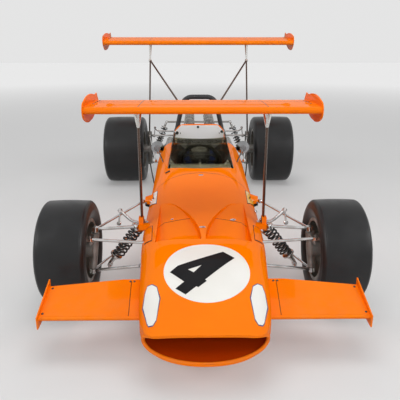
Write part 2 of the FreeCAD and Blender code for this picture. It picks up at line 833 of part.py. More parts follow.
# Rear uprights, links, and half shafts that turn with the wheels
def rear_corner(hand, side):
    """Upright with its bearing bore, the links to the tub and the gearbox, and the half shaft."""
    axle_height = rear_tyre_radius
    hub_face = half_track - hub_reach_in - seat_gap
    inner = rear_upright_x
    outside = rod((side * inner, rear_axle, axle_height), (side * hub_face, rear_axle, axle_height),
                  hub_radius)
    low = (side * inner, rear_axle, rear_lower_z)
    high = (side * inner, rear_axle, rear_strut_foot)
    post = rod(low, high, upright_radius)
    bore = rod((side * (inner - hub_radius), rear_axle, axle_height),
               (side * half_track, rear_axle, axle_height), half_shaft_radius + bearing_gap)
    damper_z = rear_lower_z + rear_damper_lift
    pin_end = (side * rear_damper_foot_x, rear_axle + damper_offset * 2 - rod_end_radius - seat_gap,
               damper_z)
    damper_root = (side * rear_damper_foot_x, rear_axle, damper_z)
    damper_arm = fuse([rod((side * inner, rear_axle, damper_z), damper_root, damper_pin),
                       ball(damper_root, damper_pin), rod(damper_root, pin_end, damper_pin)])
    node("rear_%s_upright" % hand, cut(fuse([outside, post, damper_arm]), bore))
    shaft_in = gearbox_half + flange_length + seat_gap
    shaft_out = half_track + rear_web_place + hub_reach_out - wheel_web * 2
    shaft = rod((side * shaft_in, rear_axle, axle_height), (side * shaft_out, rear_axle, axle_height),
                half_shaft_radius)
    joint = rod((side * shaft_in, rear_axle, axle_height),
                (side * (shaft_in + flange_length), rear_axle, axle_height), shaft_joint_radius)
    node("rear_%s_half_shaft" % hand, fuse([shaft, joint]))
    seat = upright_radius + rod_end_radius + seat_gap
    top_out = (side * (inner - seat), rear_axle, rear_upper_z)
    top_in = (side * (gearbox_half + rod_end_radius + seat_gap), rear_axle, rear_upper_z)
    low_out = (side * (inner - seat), rear_axle, rear_lower_z + rod_end_radius)
    low_in = (side * (gearbox_half + rod_end_radius + seat_gap), rear_axle - rear_base,
              rear_lower_z + rod_end_radius)
    upper_rod_out = (side * inner, rear_axle - seat, rear_upper_z)
    upper_rod_in = (side * radius_rod_x, tub_back - radius_rod_seat, radius_rod_upper_z)
    lower_rod_out = (side * inner, rear_axle - seat, rear_lower_z + rod_end_radius)
    lower_rod_in = (side * radius_rod_x, tub_back - radius_rod_seat, radius_rod_lower_z)
    links = []
    for start, end in ((top_out, top_in), (low_out, low_in), (upper_rod_out, upper_rod_in),
                       (lower_rod_out, lower_rod_in)):
        links.append(fuse([rod(start, end, link_radius), ball(start, rod_end_radius),
                           ball(end, rod_end_radius)]))
    node("rear_%s_links" % hand, group(links))


rear_corner("left", 1)
rear_corner("right", -1)


# Body shell: thin bands that follow one rounded section, the tub below the seam and the cowl above it
def signed_power(value, power):
    """A power that keeps the sign, and takes the sine of a half turn as zero."""
    return math.copysign(abs(round(value, 9)) ** power, value)


def rounded(y, half_width, low, high, squareness, start, end):
    """A curve across the car from one angle to another, worked out by one formula."""
    middle = (low + high) / 2
    half_height = (high - low) / 2
    power = 2 / squareness
    spots = []
    for index in range(section_points):
        angle = start + (end - start) * index / (section_points - 1)
        u = signed_power(math.cos(angle), power)
        v = signed_power(math.sin(angle), power)
        spots.append(FreeCAD.Vector(half_width * u, y, middle + half_height * v))
    curve = Part.BSplineCurve()
    curve.interpolate(spots)
    return curve.toShape()


def seam_angle(low, high, squareness, seam):
    """The angle at which the rounded section crosses the seam's height."""
    share = (2 * seam - low - high) / (high - low)
    return math.copysign(math.asin(abs(share) ** (squareness / 2)), share)


def band(y, half_width, low, high, squareness, wall, seam, upper):
    """A closed outline: the section's outer curve above or below the seam, and its inner curve."""
    curves = []
    for inset in (0, wall):
        angle = seam_angle(low + inset, high - inset, squareness, seam)
        end = math.pi - angle if upper else -math.pi - angle
        curves.append(rounded(y, half_width - inset, low + inset, high - inset, squareness, angle, end))
    outside, inside = curves
    first = Part.LineSegment(outside.lastVertex().Point, inside.lastVertex().Point).toShape()
    last = Part.LineSegment(inside.firstVertex().Point, outside.firstVertex().Point).toShape()
    return Part.Wire([outside, first, inside, last])


def band_shell(name, start, run, half_width, low, height, stations, wall, seam, upper):
    """A thin shell through the stations, each a row of shares: place, width, height, squareness, floor."""
    wires = []
    for place_share, width_share, height_share, squareness, floor_share in stations:
        y = number(start + run * place_share)
        wires.append(band(y, number(half_width * width_share), number(low + height * floor_share),
                          number(low + height * height_share), squareness, number(wall), number(seam), upper))
    return shaped(name, Part.makeLoft(wires, True, False))


def duct(name, start, run, half_width, low, height, stations, inset):
    """A solid through whole sections, the size of the shell or inset by its wall."""
    wires = []
    for place_share, width_share, height_share, squareness, floor_share in stations:
        y = number(start + run * place_share)
        half = number(half_width * width_share) - number(inset)
        bottom = number(low + height * floor_share) + number(inset)
        top = number(low + height * height_share) - number(inset)
        over = rounded(y, half, bottom, top, squareness, 0, math.pi)
        under = rounded(y, half, bottom, top, squareness, math.pi, 2 * math.pi)
        wires.append(Part.Wire([over, under]))
    return shaped(name, Part.makeLoft(wires, True, False))


def skin_height(x, station):
    """The height of the shell's top at a distance from the middle, at one station."""
    place_share, width_share, height_share, squareness, floor_share = station
    half_height = body_height * height_share / 2
    share = (x.value / (body_half_width.value * width_share)) ** squareness
    return ride_height + half_height * (1 + (1 - share) ** (1 / squareness))


tub_shell = band_shell("TubShell", tub_front, tub_length, body_half_width, ride_height, body_height,
                       body_station_shares, tub_wall, cowl_seam_height, False)
trough_back = tub_back - tub_wall
bulkhead_half = body_half_width * body_station_shares[0][1] - tub_wall / 2
seat_back = box(-bulkhead_half, bulkhead_half, trough_back, tub_back, ride_height + tub_wall / 2,
                cowl_seam_height)
rack_shelf_back = front_axle - arm_length + rack_house_radius * 2
front_bulkhead = box(-bulkhead_half, bulkhead_half, tub_front, rack_shelf_back,
                     ride_height + tub_wall / 2, arm_height - rack_house_radius - seat_gap)


def ear(side, x_in, place):
    """A bracket that reaches out from the tub to a link's inner end."""
    x, y, z = place
    near, far = sorted([side * x_in, x - side * (rod_end_radius + seat_gap)], key=number)
    return box(near, far, y - ear_half_width, y + ear_half_width, z - ear_half_height, z + ear_half_height)


def ear_slot(side, place):
    """The hole in the cowl that an upper ear passes through."""
    x, y, z = place
    near, far = sorted([side * tower_in_x, x], key=number)
    return box(near, far, y - ear_half_width - seat_gap, y + ear_half_width + seat_gap,
               z - ear_half_height - seat_gap, z + ear_half_height + seat_gap)


def tower(side, place):
    """The post inside the cowl that carries an upper ear."""
    x, y, z = place
    near, far = sorted([side * tower_in_x, side * (tower_in_x + tower_width * 2)], key=number)
    post_near, post_far = sorted([side * tower_in_x, side * (tower_in_x + tower_width)], key=number)
    foot = box(near, far, y - ear_half_width, y + ear_half_width, cowl_seam_height - overrun,
               cowl_seam_height)
    post = box(post_near, post_far, y - ear_half_width, y + ear_half_width, cowl_seam_height - overrun,
               z + ear_half_height)
    return fuse([foot, post])


tub_pieces = [tub_shell, seat_back, front_bulkhead]
slots = []
for side in (1, -1):
    upper_in, upper_back = upper_pickups(side)
    lower_in, lower_back = lower_pickups(side)
    for place in (upper_in, upper_back):
        tub_pieces += [tower(side, place), ear(side, tower_in_x, place)]
        slots.append(ear_slot(side, place))
    for place in (lower_in, lower_back):
        tub_pieces.append(ear(side, tower_in_x + tower_width, place))
    lug_end = upper_in[0] - side * (rod_end_radius + seat_gap)
    near, far = sorted([lug_end, lug_end - side * lug_width], key=number)
    tub_pieces.append(box(near, far, front_axle - link_radius, front_axle + front_strut_set + link_radius,
                          upper_pickup_z, front_strut_foot - seat_gap))
    damper_head = (side * damper_top_x, front_axle + damper_offset - rod_end_radius - seat_gap, damper_top_z)
    tub_pieces.append(rod((side * damper_top_x, front_axle, damper_top_z), damper_head, damper_pin))
node("monocoque_tub", fuse(tub_pieces))

cowl_shell = band_shell("CowlShell", tub_front, tub_length, body_half_width, ride_height, body_height,
                        body_station_shares, cowl_wall, cowl_seam_height + seat_gap, True)
tub_top_z = skin_height(hoop_foot_x - hoop_radius, body_station_shares[-1])
hole_body = new_body("CockpitHole")
hole = sketch(hole_body, "XY_Plane", [
    (cockpit_half_width, hole_back), (cockpit_half_width, hole_front + cockpit_corner),
    (0, hole_front, -cockpit_half_width, hole_front + cockpit_corner),
    (-cockpit_half_width, hole_back),
])
pad(hole_body, hole, body_height * 4)


def body_duct(name, stations, inset):
    """A solid through the body's sections, inset from its skin."""
    return duct(name, tub_front, tub_length, body_half_width, ride_height, body_height, stations, inset)


body_clear = body_duct("BodyClear", body_station_shares, -seat_gap)
body_room = body_duct("BodyRoom", body_station_shares, cowl_wall + seat_gap)


def duct_plan(side):
    """One cooling way seen from above: open at the front, its inner edge curved outwards to the back."""
    body = new_body("DuctPlan")
    open_end = tub_front - overrun
    drawn = sketch(body, "XY_Plane", [
        (side * duct_outer_x, open_end), (side * duct_inner_x, open_end),
        (side * duct_waist_x, tub_front + duct_waist_back, side * duct_back_x, tub_front + duct_back),
        (side * duct_outer_x, tub_front + duct_length),
    ])
    pad(body, drawn, body_height * 4)
    return body


deck_skin = body_duct("DeckSkin", body_station_shares, cowl_wall / 2)
duct_floor = body_duct("DuctFloor", duct_station_shares, 0)
duct_under = body_duct("DuctUnder", duct_station_shares, duct_wall)
deck_side = duct_outer_x + duct_wall
deck_block = box(-deck_side, deck_side, tub_front, tub_front + duct_length, cowl_seam_height, body_height * 2)
deck = cut(common(deck_block, deck_skin), duct_under)
ways = cut(fuse([duct_plan(1), duct_plan(-1)]), duct_floor)
for side in (1, -1):
    near, far = sorted([side * (deck_side + seat_gap), side * body_half_width * 2], key=number)
    slots.append(box(near, far, front_axle - arm_length - rod_slot, front_axle - arm_length + rod_slot,
                     cowl_seam_height - overrun, arm_height + rod_slot))
cowl_pieces = [cowl_shell, deck]
for side in (1, -1):
    x, y, z = upper_pickups(side)[1]
    tip_x = x - side * (rod_end_radius + fairing_gap)
    cowl_pieces.append(cone((side * fairing_root_x, y, z), (tip_x, y, z), fairing_root_radius,
                            fairing_tip_radius))
node("cockpit_cowl", cut(fuse(cowl_pieces), fuse([hole_body, ways] + slots)))

# Nose: a tapering duct from the wide mouth to the exit lip, rounded in plan at its front
nose_back = tub_front - seat_gap
nose_run = nose_back - nose_y


def nose_duct(name, inset):
    """A solid through the nose's sections, inset from its skin."""
    return duct(name, nose_y, nose_run, nose_half_width, ride_height, nose_height, nose_station_shares, inset)


def lip_wire(z, lip_shares):
    """The plan of the nose at one height: wide at the back, and a lip of five arcs at the front."""
    spots = [point(nose_half_width * across, nose_y + nose_tip_depth * back, z)
             for across, back in lip_shares]
    right = [point(nose_half_width * 2, nose_back, z)] + spots[:-1]
    left = [FreeCAD.Vector(-spot.x, spot.y, spot.z) for spot in reversed(right)]
    edges = [Part.LineSegment(right[0], right[1]), Part.Arc(right[1], right[2], right[3]),
             Part.Arc(right[3], right[4], right[5]), Part.Arc(right[5], spots[-1], left[0]),
             Part.Arc(left[0], left[1], left[2]), Part.Arc(left[2], left[3], left[4]),
             Part.LineSegment(left[4], left[5]), Part.LineSegment(left[5], right[0])]
    return Part.Wire([edge.toShape() for edge in edges])


nose_clear = nose_duct("NoseClear", -seat_gap)
nose_room = nose_duct("NoseRoom", nose_wall + seat_gap)
nose_plan = shaped("NosePlan", Part.makeLoft([
    lip_wire(ride_height - overrun, low_lip_shares), lip_wire(nose_low_lip_z, low_lip_shares),
    lip_wire(nose_high_lip_z, high_lip_shares), lip_wire(body_height * 2, high_lip_shares)], True, True))
node("nose_cowl", common(cut(nose_duct("NoseOuter", 0), nose_duct("NoseInner", nose_wall)), nose_plan))


# Radiator inside the nose
radiator_y = tub_front - radiator_ahead
radiator_block = box(-radiator_half, radiator_half, radiator_y, radiator_y + radiator_depth,
                     ride_height, ride_height + nose_wall + radiator_height)
node("radiator", common(radiator_block, nose_room))


# Nose fins: a blade each side with an end plate
def nose_fin(side):
    """One low fin on the side of the nose, nose down, with its end plate."""
    body = new_body("Fin")
    lead = front_axle - fin_lead_ahead
    trail = front_axle - fin_trail_ahead
    profile = sketch(body, "YZ_Plane", [
        (trail, fin_trail_z), (lead + fin_depth, fin_lead_z + fin_depth / 2),
        (lead, fin_lead_z, lead + fin_depth, fin_lead_z - fin_depth / 2),
    ], side * fin_root)
    blade = pad(body, profile, fin_tip - fin_root, False)
    blade.Reversed = side < 0
    plan_body = new_body("FinPlan")
    plan = sketch(plan_body, "XY_Plane", [
        (side * fin_root, lead - overrun), (side * (fin_tip + seat_gap), lead - overrun),
        (side * (fin_tip + seat_gap), trail - fin_sweep), (side * fin_root, trail + fin_depth),
    ])
    pad(plan_body, plan, body_height * 2)
    back = trail - fin_sweep + fin_depth
    plate_body = new_body("FinPlate")
    plate = sketch(plate_body, "YZ_Plane", [
        (lead - fin_depth, fin_lead_z - fin_plate_drop), (back, fin_lead_z - fin_plate_drop / 2),
        (back, fin_trail_z + fin_plate_rise), (lead - fin_depth, fin_lead_z + fin_plate_rise),
    ], side * fin_tip)
    plate_pad = pad(plate_body, plate, end_plate_wall, False)
    plate_pad.Reversed = side < 0
    return cut(fuse([common(body, plan_body), plate_body]), nose_clear)


node("nose_fins", group([nose_fin(1), nose_fin(-1)]))


# Windscreen: a thin curved wall that follows the front of the cockpit
def screen_edge(half, front, back, z, inset):
    """Five places along one face of the screen, open at the back, at one height."""
    return [point(half - inset, back, z), point(half - inset, front + cockpit_corner, z),
            point(0, front + inset, z), point(inset - half, front + cockpit_corner, z),
            point(inset - half, back, z)]


def screen_wire(half, front, back, z, thick):
    """The band between the outer face and the inner face of the screen at one height."""
    far = screen_edge(half, front, back, z, 0)
    near = screen_edge(half, front, back, z, number(thick))
    return Part.Wire([
        Part.LineSegment(far[0], far[1]).toShape(), Part.Arc(far[1], far[2], far[3]).toShape(),
        Part.LineSegment(far[3], far[4]).toShape(), Part.LineSegment(far[4], near[4]).toShape(),
        Part.LineSegment(near[4], near[3]).toShape(), Part.Arc(near[3], near[2], near[1]).toShape(),
        Part.LineSegment(near[1], near[0]).toShape(), Part.LineSegment(near[0], far[0]).toShape()])


screen_low = screen_wire(cockpit_half_width - seat_gap, hole_front + seat_gap, hole_front + screen_run,
                         screen_foot_z, screen_wall)
screen_high = screen_wire(cockpit_half_width - screen_lean, hole_front + screen_sweep,
                          hole_front + screen_run, screen_top_z, screen_wall)
node("windscreen", shaped("Screen", Part.makeLoft([screen_low, screen_high], True, True)))

# Cockpit: seat, dash, rounded panel behind the driver's head
seat_room = body_duct("SeatRoom", body_station_shares, tub_wall + seat_gap)
seat_block = box(-seat_half, seat_half, trough_back - seat_reach, trough_back - seat_gap, ride_height,
                 seat_top_z)
node("seat", common(seat_block, seat_room))
dash = box(-body_half_width, body_half_width, hole_front + dash_set, hole_front + dash_set + dash_wall,
           dash_low_z, dash_high_z)
head_body = new_body("HeadPanel")
head_outline = sketch(head_body, "XZ_Plane", [
    (head_half, tub_top_z - tub_wall), (head_half, head_top_z - head_corner),
    (head_half - head_corner, head_top_z), (head_corner - head_half, head_top_z),
    (-head_half, head_top_z - head_corner), (-head_half, tub_top_z - tub_wall),
], -(tub_back - head_set))
pad(head_body, head_outline, head_wall)
node("headrest_panel", cut(head_body, body_clear))

# Roll hoop: one bent tube whose legs stand on the tub
hoop_y = tub_back - hoop_set
hoop = bent([(hoop_foot_x, hoop_y, tub_top_z - tub_wall), (hoop_shoulder_x, hoop_y, hoop_top_z),
             (-hoop_shoulder_x, hoop_y, hoop_top_z), (-hoop_foot_x, hoop_y, tub_top_z - tub_wall)],
            hoop_radius, hoop_bend)
node("roll_hoop", cut(hoop, body_clear))


# Mirrors on their stalks
def mirror(side):
    """One round mirror with its stalk down to the cowl."""
    centre = (side * mirror_x, hole_front + mirror_set, mirror_z)
    face = (side * mirror_x, hole_front + mirror_set + mirror_depth, mirror_z)
    foot = (side * mirror_foot_x, hole_front + mirror_set, mirror_foot_z)
    return cut(fuse([cone(centre, face, mirror_radius * mirror_taper_share, mirror_radius),
                     rod(centre, foot, mirror_stalk)]), body_clear)


node("mirrors", group([mirror(1), mirror(-1)]))

# Engine, gearbox, intake trumpets, exhausts
engine_front = tub_back + seat_gap
engine_back = engine_front + engine_length
engine_middle = engine_front + engine_length / 2
engine_body = new_body("Engine")
engine_outline = sketch(engine_body, "XZ_Plane", [
    (sump_half, engine_low_z), (crank_half, crank_z), (head_out_x, head_out_z), (head_top_x, head_crest_z),
    (valley_x, valley_z), (-valley_x, valley_z), (-head_top_x, head_crest_z), (-head_out_x, head_out_z),
    (-crank_half, crank_z), (-sump_half, engine_low_z),
], -engine_middle)
pad(engine_body, engine_outline, engine_length - cam_cover_set)
covers = [engine_body]
for side in (1, -1):
    for share in cover_place_shares:
        x = side * (head_top_x + (head_out_x - head_top_x) * share)
        z = head_crest_z + (head_out_z - head_crest_z) * share
        covers.append(rod((x, engine_front + cam_cover_set, z), (x, engine_back - cam_cover_set, z),
                          cam_cover_radius))
covers.append(box(-gearbox_half, gearbox_half, engine_front, engine_back, crank_z - crank_half, crank_z))
engine_block = node("engine_block", fuse(covers))

trumpets = []
for side in (1, -1):
    for index in range(cylinders_per_bank):
        share = (index + cylinder_middle_share) / cylinders_per_bank
        y = engine_front + engine_length * share
        x = side * trumpet_x
        foot = (x, y, valley_z + seat_gap)
        throat = (x, y, trumpet_top_z - dome_radius - trumpet_flare)
        mouth = (x, y, trumpet_top_z - dome_radius)
        trumpet = fuse([rod(foot, throat, trumpet_radius), cone(throat, mouth, trumpet_radius, dome_radius),
                        ball(mouth, dome_radius)])
        trumpets.append(cut(trumpet, engine_block))
node("intake_trumpets", group(trumpets))


def damper_beam():
    """A bar across the gearbox between the tops of the rear dampers, on two posts."""
    y = rear_axle + damper_offset * 2
    reach = rear_damper_top_x - rod_end_radius - seat_gap
    bars = [rod((-reach, y, rear_damper_top_z), (reach, y, rear_damper_top_z), link_radius)]
    for side in (1, -1):
        bars.append(rod((side * gearbox_half / 2, y, gearbox_high_z - overrun),
                        (side * gearbox_half, y, rear_damper_top_z), link_radius))
    return bars


def jack_bar():
    """The lifting bar behind the gearbox, on two legs. Its ends are free pins that a jack takes hold of."""
    y = gearbox_back + jack_reach
    z = gearbox_low_z + jack_tube_radius * 2
    inner_end = jack_half - jack_pin_length
    bars = [rod((-jack_half, y, z), (jack_half, y, z), jack_tube_radius)]
    for side in (1, -1):
        x = side * (gearbox_half - jack_tube_radius * 2)
        bars.append(rod((x, gearbox_back - overrun, z), (x, y, z), jack_tube_radius * stub_share))
        bars.append(rod((side * inner_end, y, z), (side * jack_half, y, z), jack_pin_radius))
    return bars


gearbox_front = engine_back + seat_gap
gearbox_back = rear_axle + gearbox_tail
node("gearbox", fuse([
    box(-gearbox_half, gearbox_half, gearbox_front, gearbox_back, gearbox_low_z, gearbox_high_z),
    rod((-(gearbox_half + flange_length), rear_axle, rear_tyre_radius),
        (gearbox_half + flange_length, rear_axle, rear_tyre_radius), shaft_joint_radius),
    rod((0, gearbox_back - overrun, rear_tyre_radius),
        (0, gearbox_back + selector_length, rear_tyre_radius), selector_radius),
    *damper_beam(),
    *jack_bar(),
]))

pipes = []
for side in (1, -1):
    collector = (side * collector_x, engine_back + collector_behind, collector_z)
    for index in range(cylinders_per_bank):
        share = (index + cylinder_middle_share) / cylinders_per_bank
        y = engine_front + engine_length * share
        port = (side * (port_x + seat_gap), y, port_z)
        fall = primary_drop * (1 - index / (cylinders_per_bank - 1))
        out = (side * (port_x + primary_reach), y, port_z)
        down = (side * (port_x + primary_reach), y + primary_run, port_z - fall)
        pipes.append(bent([port, out, down, collector], primary_radius, primary_bend))
    tail = (side * collector_x, length / 2, collector_z)
    pipes.append(rod(collector, tail, tailpipe_radius))
left_pipes = fuse(pipes[:cylinders_per_bank + 1])
right_pipes = fuse(pipes[cylinders_per_bank + 1:])
node("exhausts", group([cut(left_pipes, engine_block), cut(right_pipes, engine_block)]))


# Steering: wheel on its column, rack with tie rods, rack housing
lean = math.radians(steering_rake.value)
wheel_y = hole_front + steering_set
wheel_body = doc.addObject("Part::Torus", "WheelRim")
bind(wheel_body, "Radius1", wheel_rim_radius)
bind(wheel_body, "Radius2", wheel_rim_tube)
put(wheel_body, 0, wheel_y, steering_z)
column_way = FreeCAD.Vector(0, math.cos(lean), math.sin(lean))
wheel_body.Placement.Rotation = FreeCAD.Rotation(FreeCAD.Vector(0, 0, 1), column_way)
wheel_parts = [wheel_body]


def along_column(reach, turn=None, radius=0):
    """A point on the column's line, or off it at a turn and radius, as three plain sizes."""
    step_y = math.cos(lean)
    step_z = math.sin(lean)
    if turn is None:
        return (0, wheel_y + reach * step_y, steering_z + reach * step_z)
    sideways = math.sin(math.radians(turn))
    up = math.cos(math.radians(turn))
    return (radius * sideways, wheel_y + reach * step_y - radius * up * step_z,
            steering_z + reach * step_z + radius * up * step_y)


hub_set = wheel_hub_height / 2
for turn in wheel_spoke_turns:
    wheel_parts.append(rod(along_column(0), along_column(0, turn, wheel_rim_radius), spoke_radius))
wheel_parts.append(rod(along_column(-hub_set), along_column(hub_set), wheel_hub_radius))
node("steering_wheel", fuse(wheel_parts))
column_start = along_column(-hub_set - seat_gap)
column_joint = along_column(-column_length)
rack_y = front_axle - arm_length + arc_drift
pinion = (0, rack_y + rack_house_radius + seat_gap, arm_height)
node("steering_column", fuse([
    rod(column_joint, column_start, column_radius), ball(column_joint, rod_end_radius),
    rod(pinion, column_joint, column_radius)]))
column_hole = rod(along_column(-column_length), column_start, column_radius + seat_gap)
node("dash_panel", cut(common(dash, body_room), column_hole))

rack_parts = [rod((-rack_half, rack_y, arm_height), (rack_half, rack_y, arm_height), rack_radius)]
for side in (1, -1):
    eye = (side * arm_x, rack_y, arm_height + tie_lift)
    eye_low = (side * arm_x, rack_y, arm_height + tie_lift - tie_eye_height / 2)
    eye_high = (side * arm_x, rack_y, arm_height + tie_lift + tie_eye_height / 2)
    hole_low = (side * arm_x, rack_y, arm_height + tie_lift - overrun)
    hole_high = (side * arm_x, rack_y, arm_height + tie_lift + overrun)
    bar = fuse([rod((side * (rack_half - rack_radius), rack_y, arm_height), eye, tie_rod_radius),
                rod(eye_low, eye_high, tie_eye_radius)])
    rack_parts.append(cut(bar, rod(hole_low, hole_high, tie_eye_bore)))
node("steering_rack", fuse(rack_parts))
house = rod((-rack_house_half, rack_y, arm_height), (rack_house_half, rack_y, arm_height), rack_house_radius)
bore = rod((-rack_half, rack_y, arm_height), (rack_half, rack_y, arm_height), rack_radius + seat_gap)
node("rack_housing", cut(house, bore))


# Wings: a solid blade, an end plate on each end, struts below
def plate_outline(lead_y, chord, low_z, height, plate_shares):
    """An end plate's outline, its rows of shares measured from the blade's leading edge."""
    outline = []
    for row in plate_shares:
        spots = []
        for along_share, up_share in zip(row[0::2], row[1::2]):
            spots += [lead_y + chord * along_share, low_z + height * up_share]
        outline.append(tuple(spots))
    return outline


def wing(label, half, chord, depth, lead_y, low_z, rise, plate_height, plate_shares):
    """One wing: its section is a nose arc, a crowned top and a fuller belly, its trailing edge raised."""
    body = new_body("Wing")
    trail_y = lead_y + chord
    middle_y = lead_y + chord / 2
    crown_z = low_z + (depth + rise) / 2 + depth * crown_share
    belly_z = low_z + rise / 2 - depth * belly_share
    profile = sketch(body, "YZ_Plane", [
        (trail_y, low_z + rise),
        (middle_y, crown_z, lead_y + depth / 2, low_z + depth),
        (lead_y, low_z + depth / 2, lead_y + depth / 2, low_z),
        (middle_y, belly_z, trail_y, low_z + rise - trail_wall),
    ])
    pad(body, profile, half * 2)
    pieces = [body]
    outline = plate_outline(lead_y, chord, low_z, plate_height, plate_shares)
    for side in (1, -1):
        plate_body = new_body("EndPlate")
        drawn = sketch(plate_body, "YZ_Plane", outline, side * half)
        grown = pad(plate_body, drawn, end_plate_wall, False)
        grown.Reversed = side < 0
        pieces.append(plate_body)
    return node(label, fuse(pieces))


front_wing = wing("front_wing", front_wing_half - end_plate_wall, front_wing_chord, front_wing_depth,
                  front_axle - front_wing_ahead, front_wing_z, front_wing_rise, front_plate_height,
                  front_plate_shares)
rear_wing = wing("rear_wing", rear_wing_half - end_plate_wall, rear_wing_chord, rear_wing_depth,
                 rear_axle - rear_wing_ahead, rear_wing_z, rear_wing_rise, rear_plate_height,
                 rear_plate_shares)


# Wing struts: streamlined posts in front, round posts and stays behind
def streamlined(name, x, y, low_z, high_z):
    """An upright strut of lens section."""
    body = new_body(name)
    drawn = sketch(body, "XY_Plane", [
        (x - strut_width / 2, y, x, y - strut_chord / 2), (x + strut_width / 2, y, x, y + strut_chord / 2),
    ], low_z)
    pad(body, drawn, high_z - low_z, False)
    return body


front_strut_y = front_axle + front_strut_set
front_clamp_z = front_wing_z - front_bracket_drop
front_strut_top = front_wing_z + front_wing_depth / 2
struts = []
for side in (1, -1):
    x = side * front_strut_x
    post = streamlined("Strut", x, front_strut_y, front_strut_foot, front_strut_top)
    clamp = (x, front_strut_y, front_clamp_z)
    outside = rod(clamp, (x + side * front_brace_spread, front_strut_y, front_strut_top), link_wall)
    behind = rod(clamp, (x, front_strut_y + front_wing_chord / 2, front_strut_top), link_wall)
    struts.append(cut(fuse([post, outside, behind]), front_wing))
node("front_wing_struts", group(struts))

rear_struts = []
for side in (1, -1):
    x = side * rear_strut_x
    foot = (side * rear_upright_x, rear_axle, rear_strut_foot + strut_foot_gap)
    clamp = (x, rear_axle, rear_clamp_z)
    top = (x, rear_axle, rear_wing_z + rear_wing_depth / 2)
    stay_end = (side * (hoop_shoulder_x + hoop_radius), hoop_y + hoop_radius + stay_radius,
                hoop_top_z - hoop_bend)
    behind = (x, rear_axle + rear_wing_chord / 2, rear_wing_z + (rear_wing_depth + rear_wing_rise) / 2)
    strut = fuse([rod(foot, clamp, strut_width / 2), ball(clamp, rod_end_radius),
                  rod(clamp, top, stay_radius), rod(clamp, stay_end, stay_radius),
                  rod(clamp, behind, link_wall)])
    rear_struts.append(cut(strut, rear_wing))
node("rear_wing_struts", group(rear_struts))


# Coil-over dampers
def damper(bottom, top):
    """Damper tube inside its spring's envelope, with an eye at each end."""
    low_seat, high_seat = [tuple(a + (b - a) * share for a, b in zip(bottom, top))
                           for share in spring_span_shares]
    return fuse([rod(bottom, top, damper_radius), ball(bottom, rod_end_radius), ball(top, rod_end_radius),
                 rod(low_seat, high_seat, spring_radius)])


front_dampers = []
rear_dampers = []
for side in (1, -1):
    front_dampers.append(damper(
        front_damper_foot(side), (side * damper_top_x, front_axle + damper_offset, damper_top_z)))
    rear_dampers.append(damper(
        (side * rear_damper_foot_x, rear_axle + damper_offset * 2, rear_lower_z + rear_damper_lift),
        (side * rear_damper_top_x, rear_axle + damper_offset * 2, rear_damper_top_z)))
node("front_dampers", group(front_dampers))
node("rear_dampers", group(rear_dampers))


# Check every object, then write each sub-part to its own file
doc.recompute()
for thing in doc.Objects:
    if "Invalid" in thing.State or "Error" in thing.State:
        raise RuntimeError("failed: %s %s" % (thing.Name, thing.Label))
for thing in nodes:
    if thing.Shape.isNull() or not thing.Shape.isValid():
        raise RuntimeError("bad shape: %s" % thing.Label)
os.makedirs("parts", exist_ok=True)
for thing in nodes:
    thing.Shape.exportStep("parts/%s.step" % thing.Label)
    print("%-28s %2d solids  %10.0f mm3" % (thing.Label, len(thing.Shape.Solids), thing.Shape.Volume))
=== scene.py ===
# %% [markdown]
# Dressing an open wheel racing car.
# The solids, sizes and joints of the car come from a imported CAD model, and this lesson loads it as a fixed
# frame. Each solid then gets its finish, and what is too fine for the CAD is modelled over it: the tyre
# mouldings, the painted number, fasteners, springs, gauze, belts and dials. Lengths are in metres, the car
# faces minus Y, and it stands on the floor at height nought.

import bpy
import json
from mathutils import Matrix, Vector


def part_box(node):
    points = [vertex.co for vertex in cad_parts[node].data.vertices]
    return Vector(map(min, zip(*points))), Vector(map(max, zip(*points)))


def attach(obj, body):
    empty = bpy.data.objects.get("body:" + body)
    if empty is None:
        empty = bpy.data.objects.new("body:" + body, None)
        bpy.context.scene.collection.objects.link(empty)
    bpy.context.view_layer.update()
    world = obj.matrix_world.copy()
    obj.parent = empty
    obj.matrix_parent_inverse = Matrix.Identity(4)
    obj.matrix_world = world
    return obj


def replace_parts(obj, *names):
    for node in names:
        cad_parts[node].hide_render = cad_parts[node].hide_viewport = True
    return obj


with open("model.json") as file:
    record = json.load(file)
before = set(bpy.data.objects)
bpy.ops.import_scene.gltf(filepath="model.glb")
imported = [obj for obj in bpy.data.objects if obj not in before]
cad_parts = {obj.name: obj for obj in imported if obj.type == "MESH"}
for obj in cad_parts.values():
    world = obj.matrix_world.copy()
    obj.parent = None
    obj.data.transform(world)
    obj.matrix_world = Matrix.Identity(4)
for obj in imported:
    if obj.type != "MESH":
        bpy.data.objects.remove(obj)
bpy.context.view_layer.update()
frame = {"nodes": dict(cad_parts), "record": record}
print("nodes:", len(frame["nodes"]))

# %% Modules and two small habits
import json
import math

import bpy
from mathutils import Matrix, Vector


def put_down():
    """Leaves edit mode and deselects everything, so that an operator acts on nothing by mistake."""
    active = bpy.context.view_layer.objects.active
    if active is not None and active.mode != "OBJECT":
        bpy.ops.object.mode_set(mode="OBJECT")
    bpy.ops.object.select_all(action="DESELECT")


def take_up(piece):
    """Makes this piece the only one selected, and the active one."""
    put_down()
    piece.select_set(True)
    bpy.context.view_layer.objects.active = piece
    return piece


put_down()
print("nothing is selected now:", len(bpy.context.selected_objects))

# %% [markdown]
# The camera stands where the photographer stood: in front of the car, above head height when crouched,
# looking down at the nose. Its place was worked out from the known wheelbase and track, so it is written as
# real lengths and angles, and nothing in the lens is shifted.

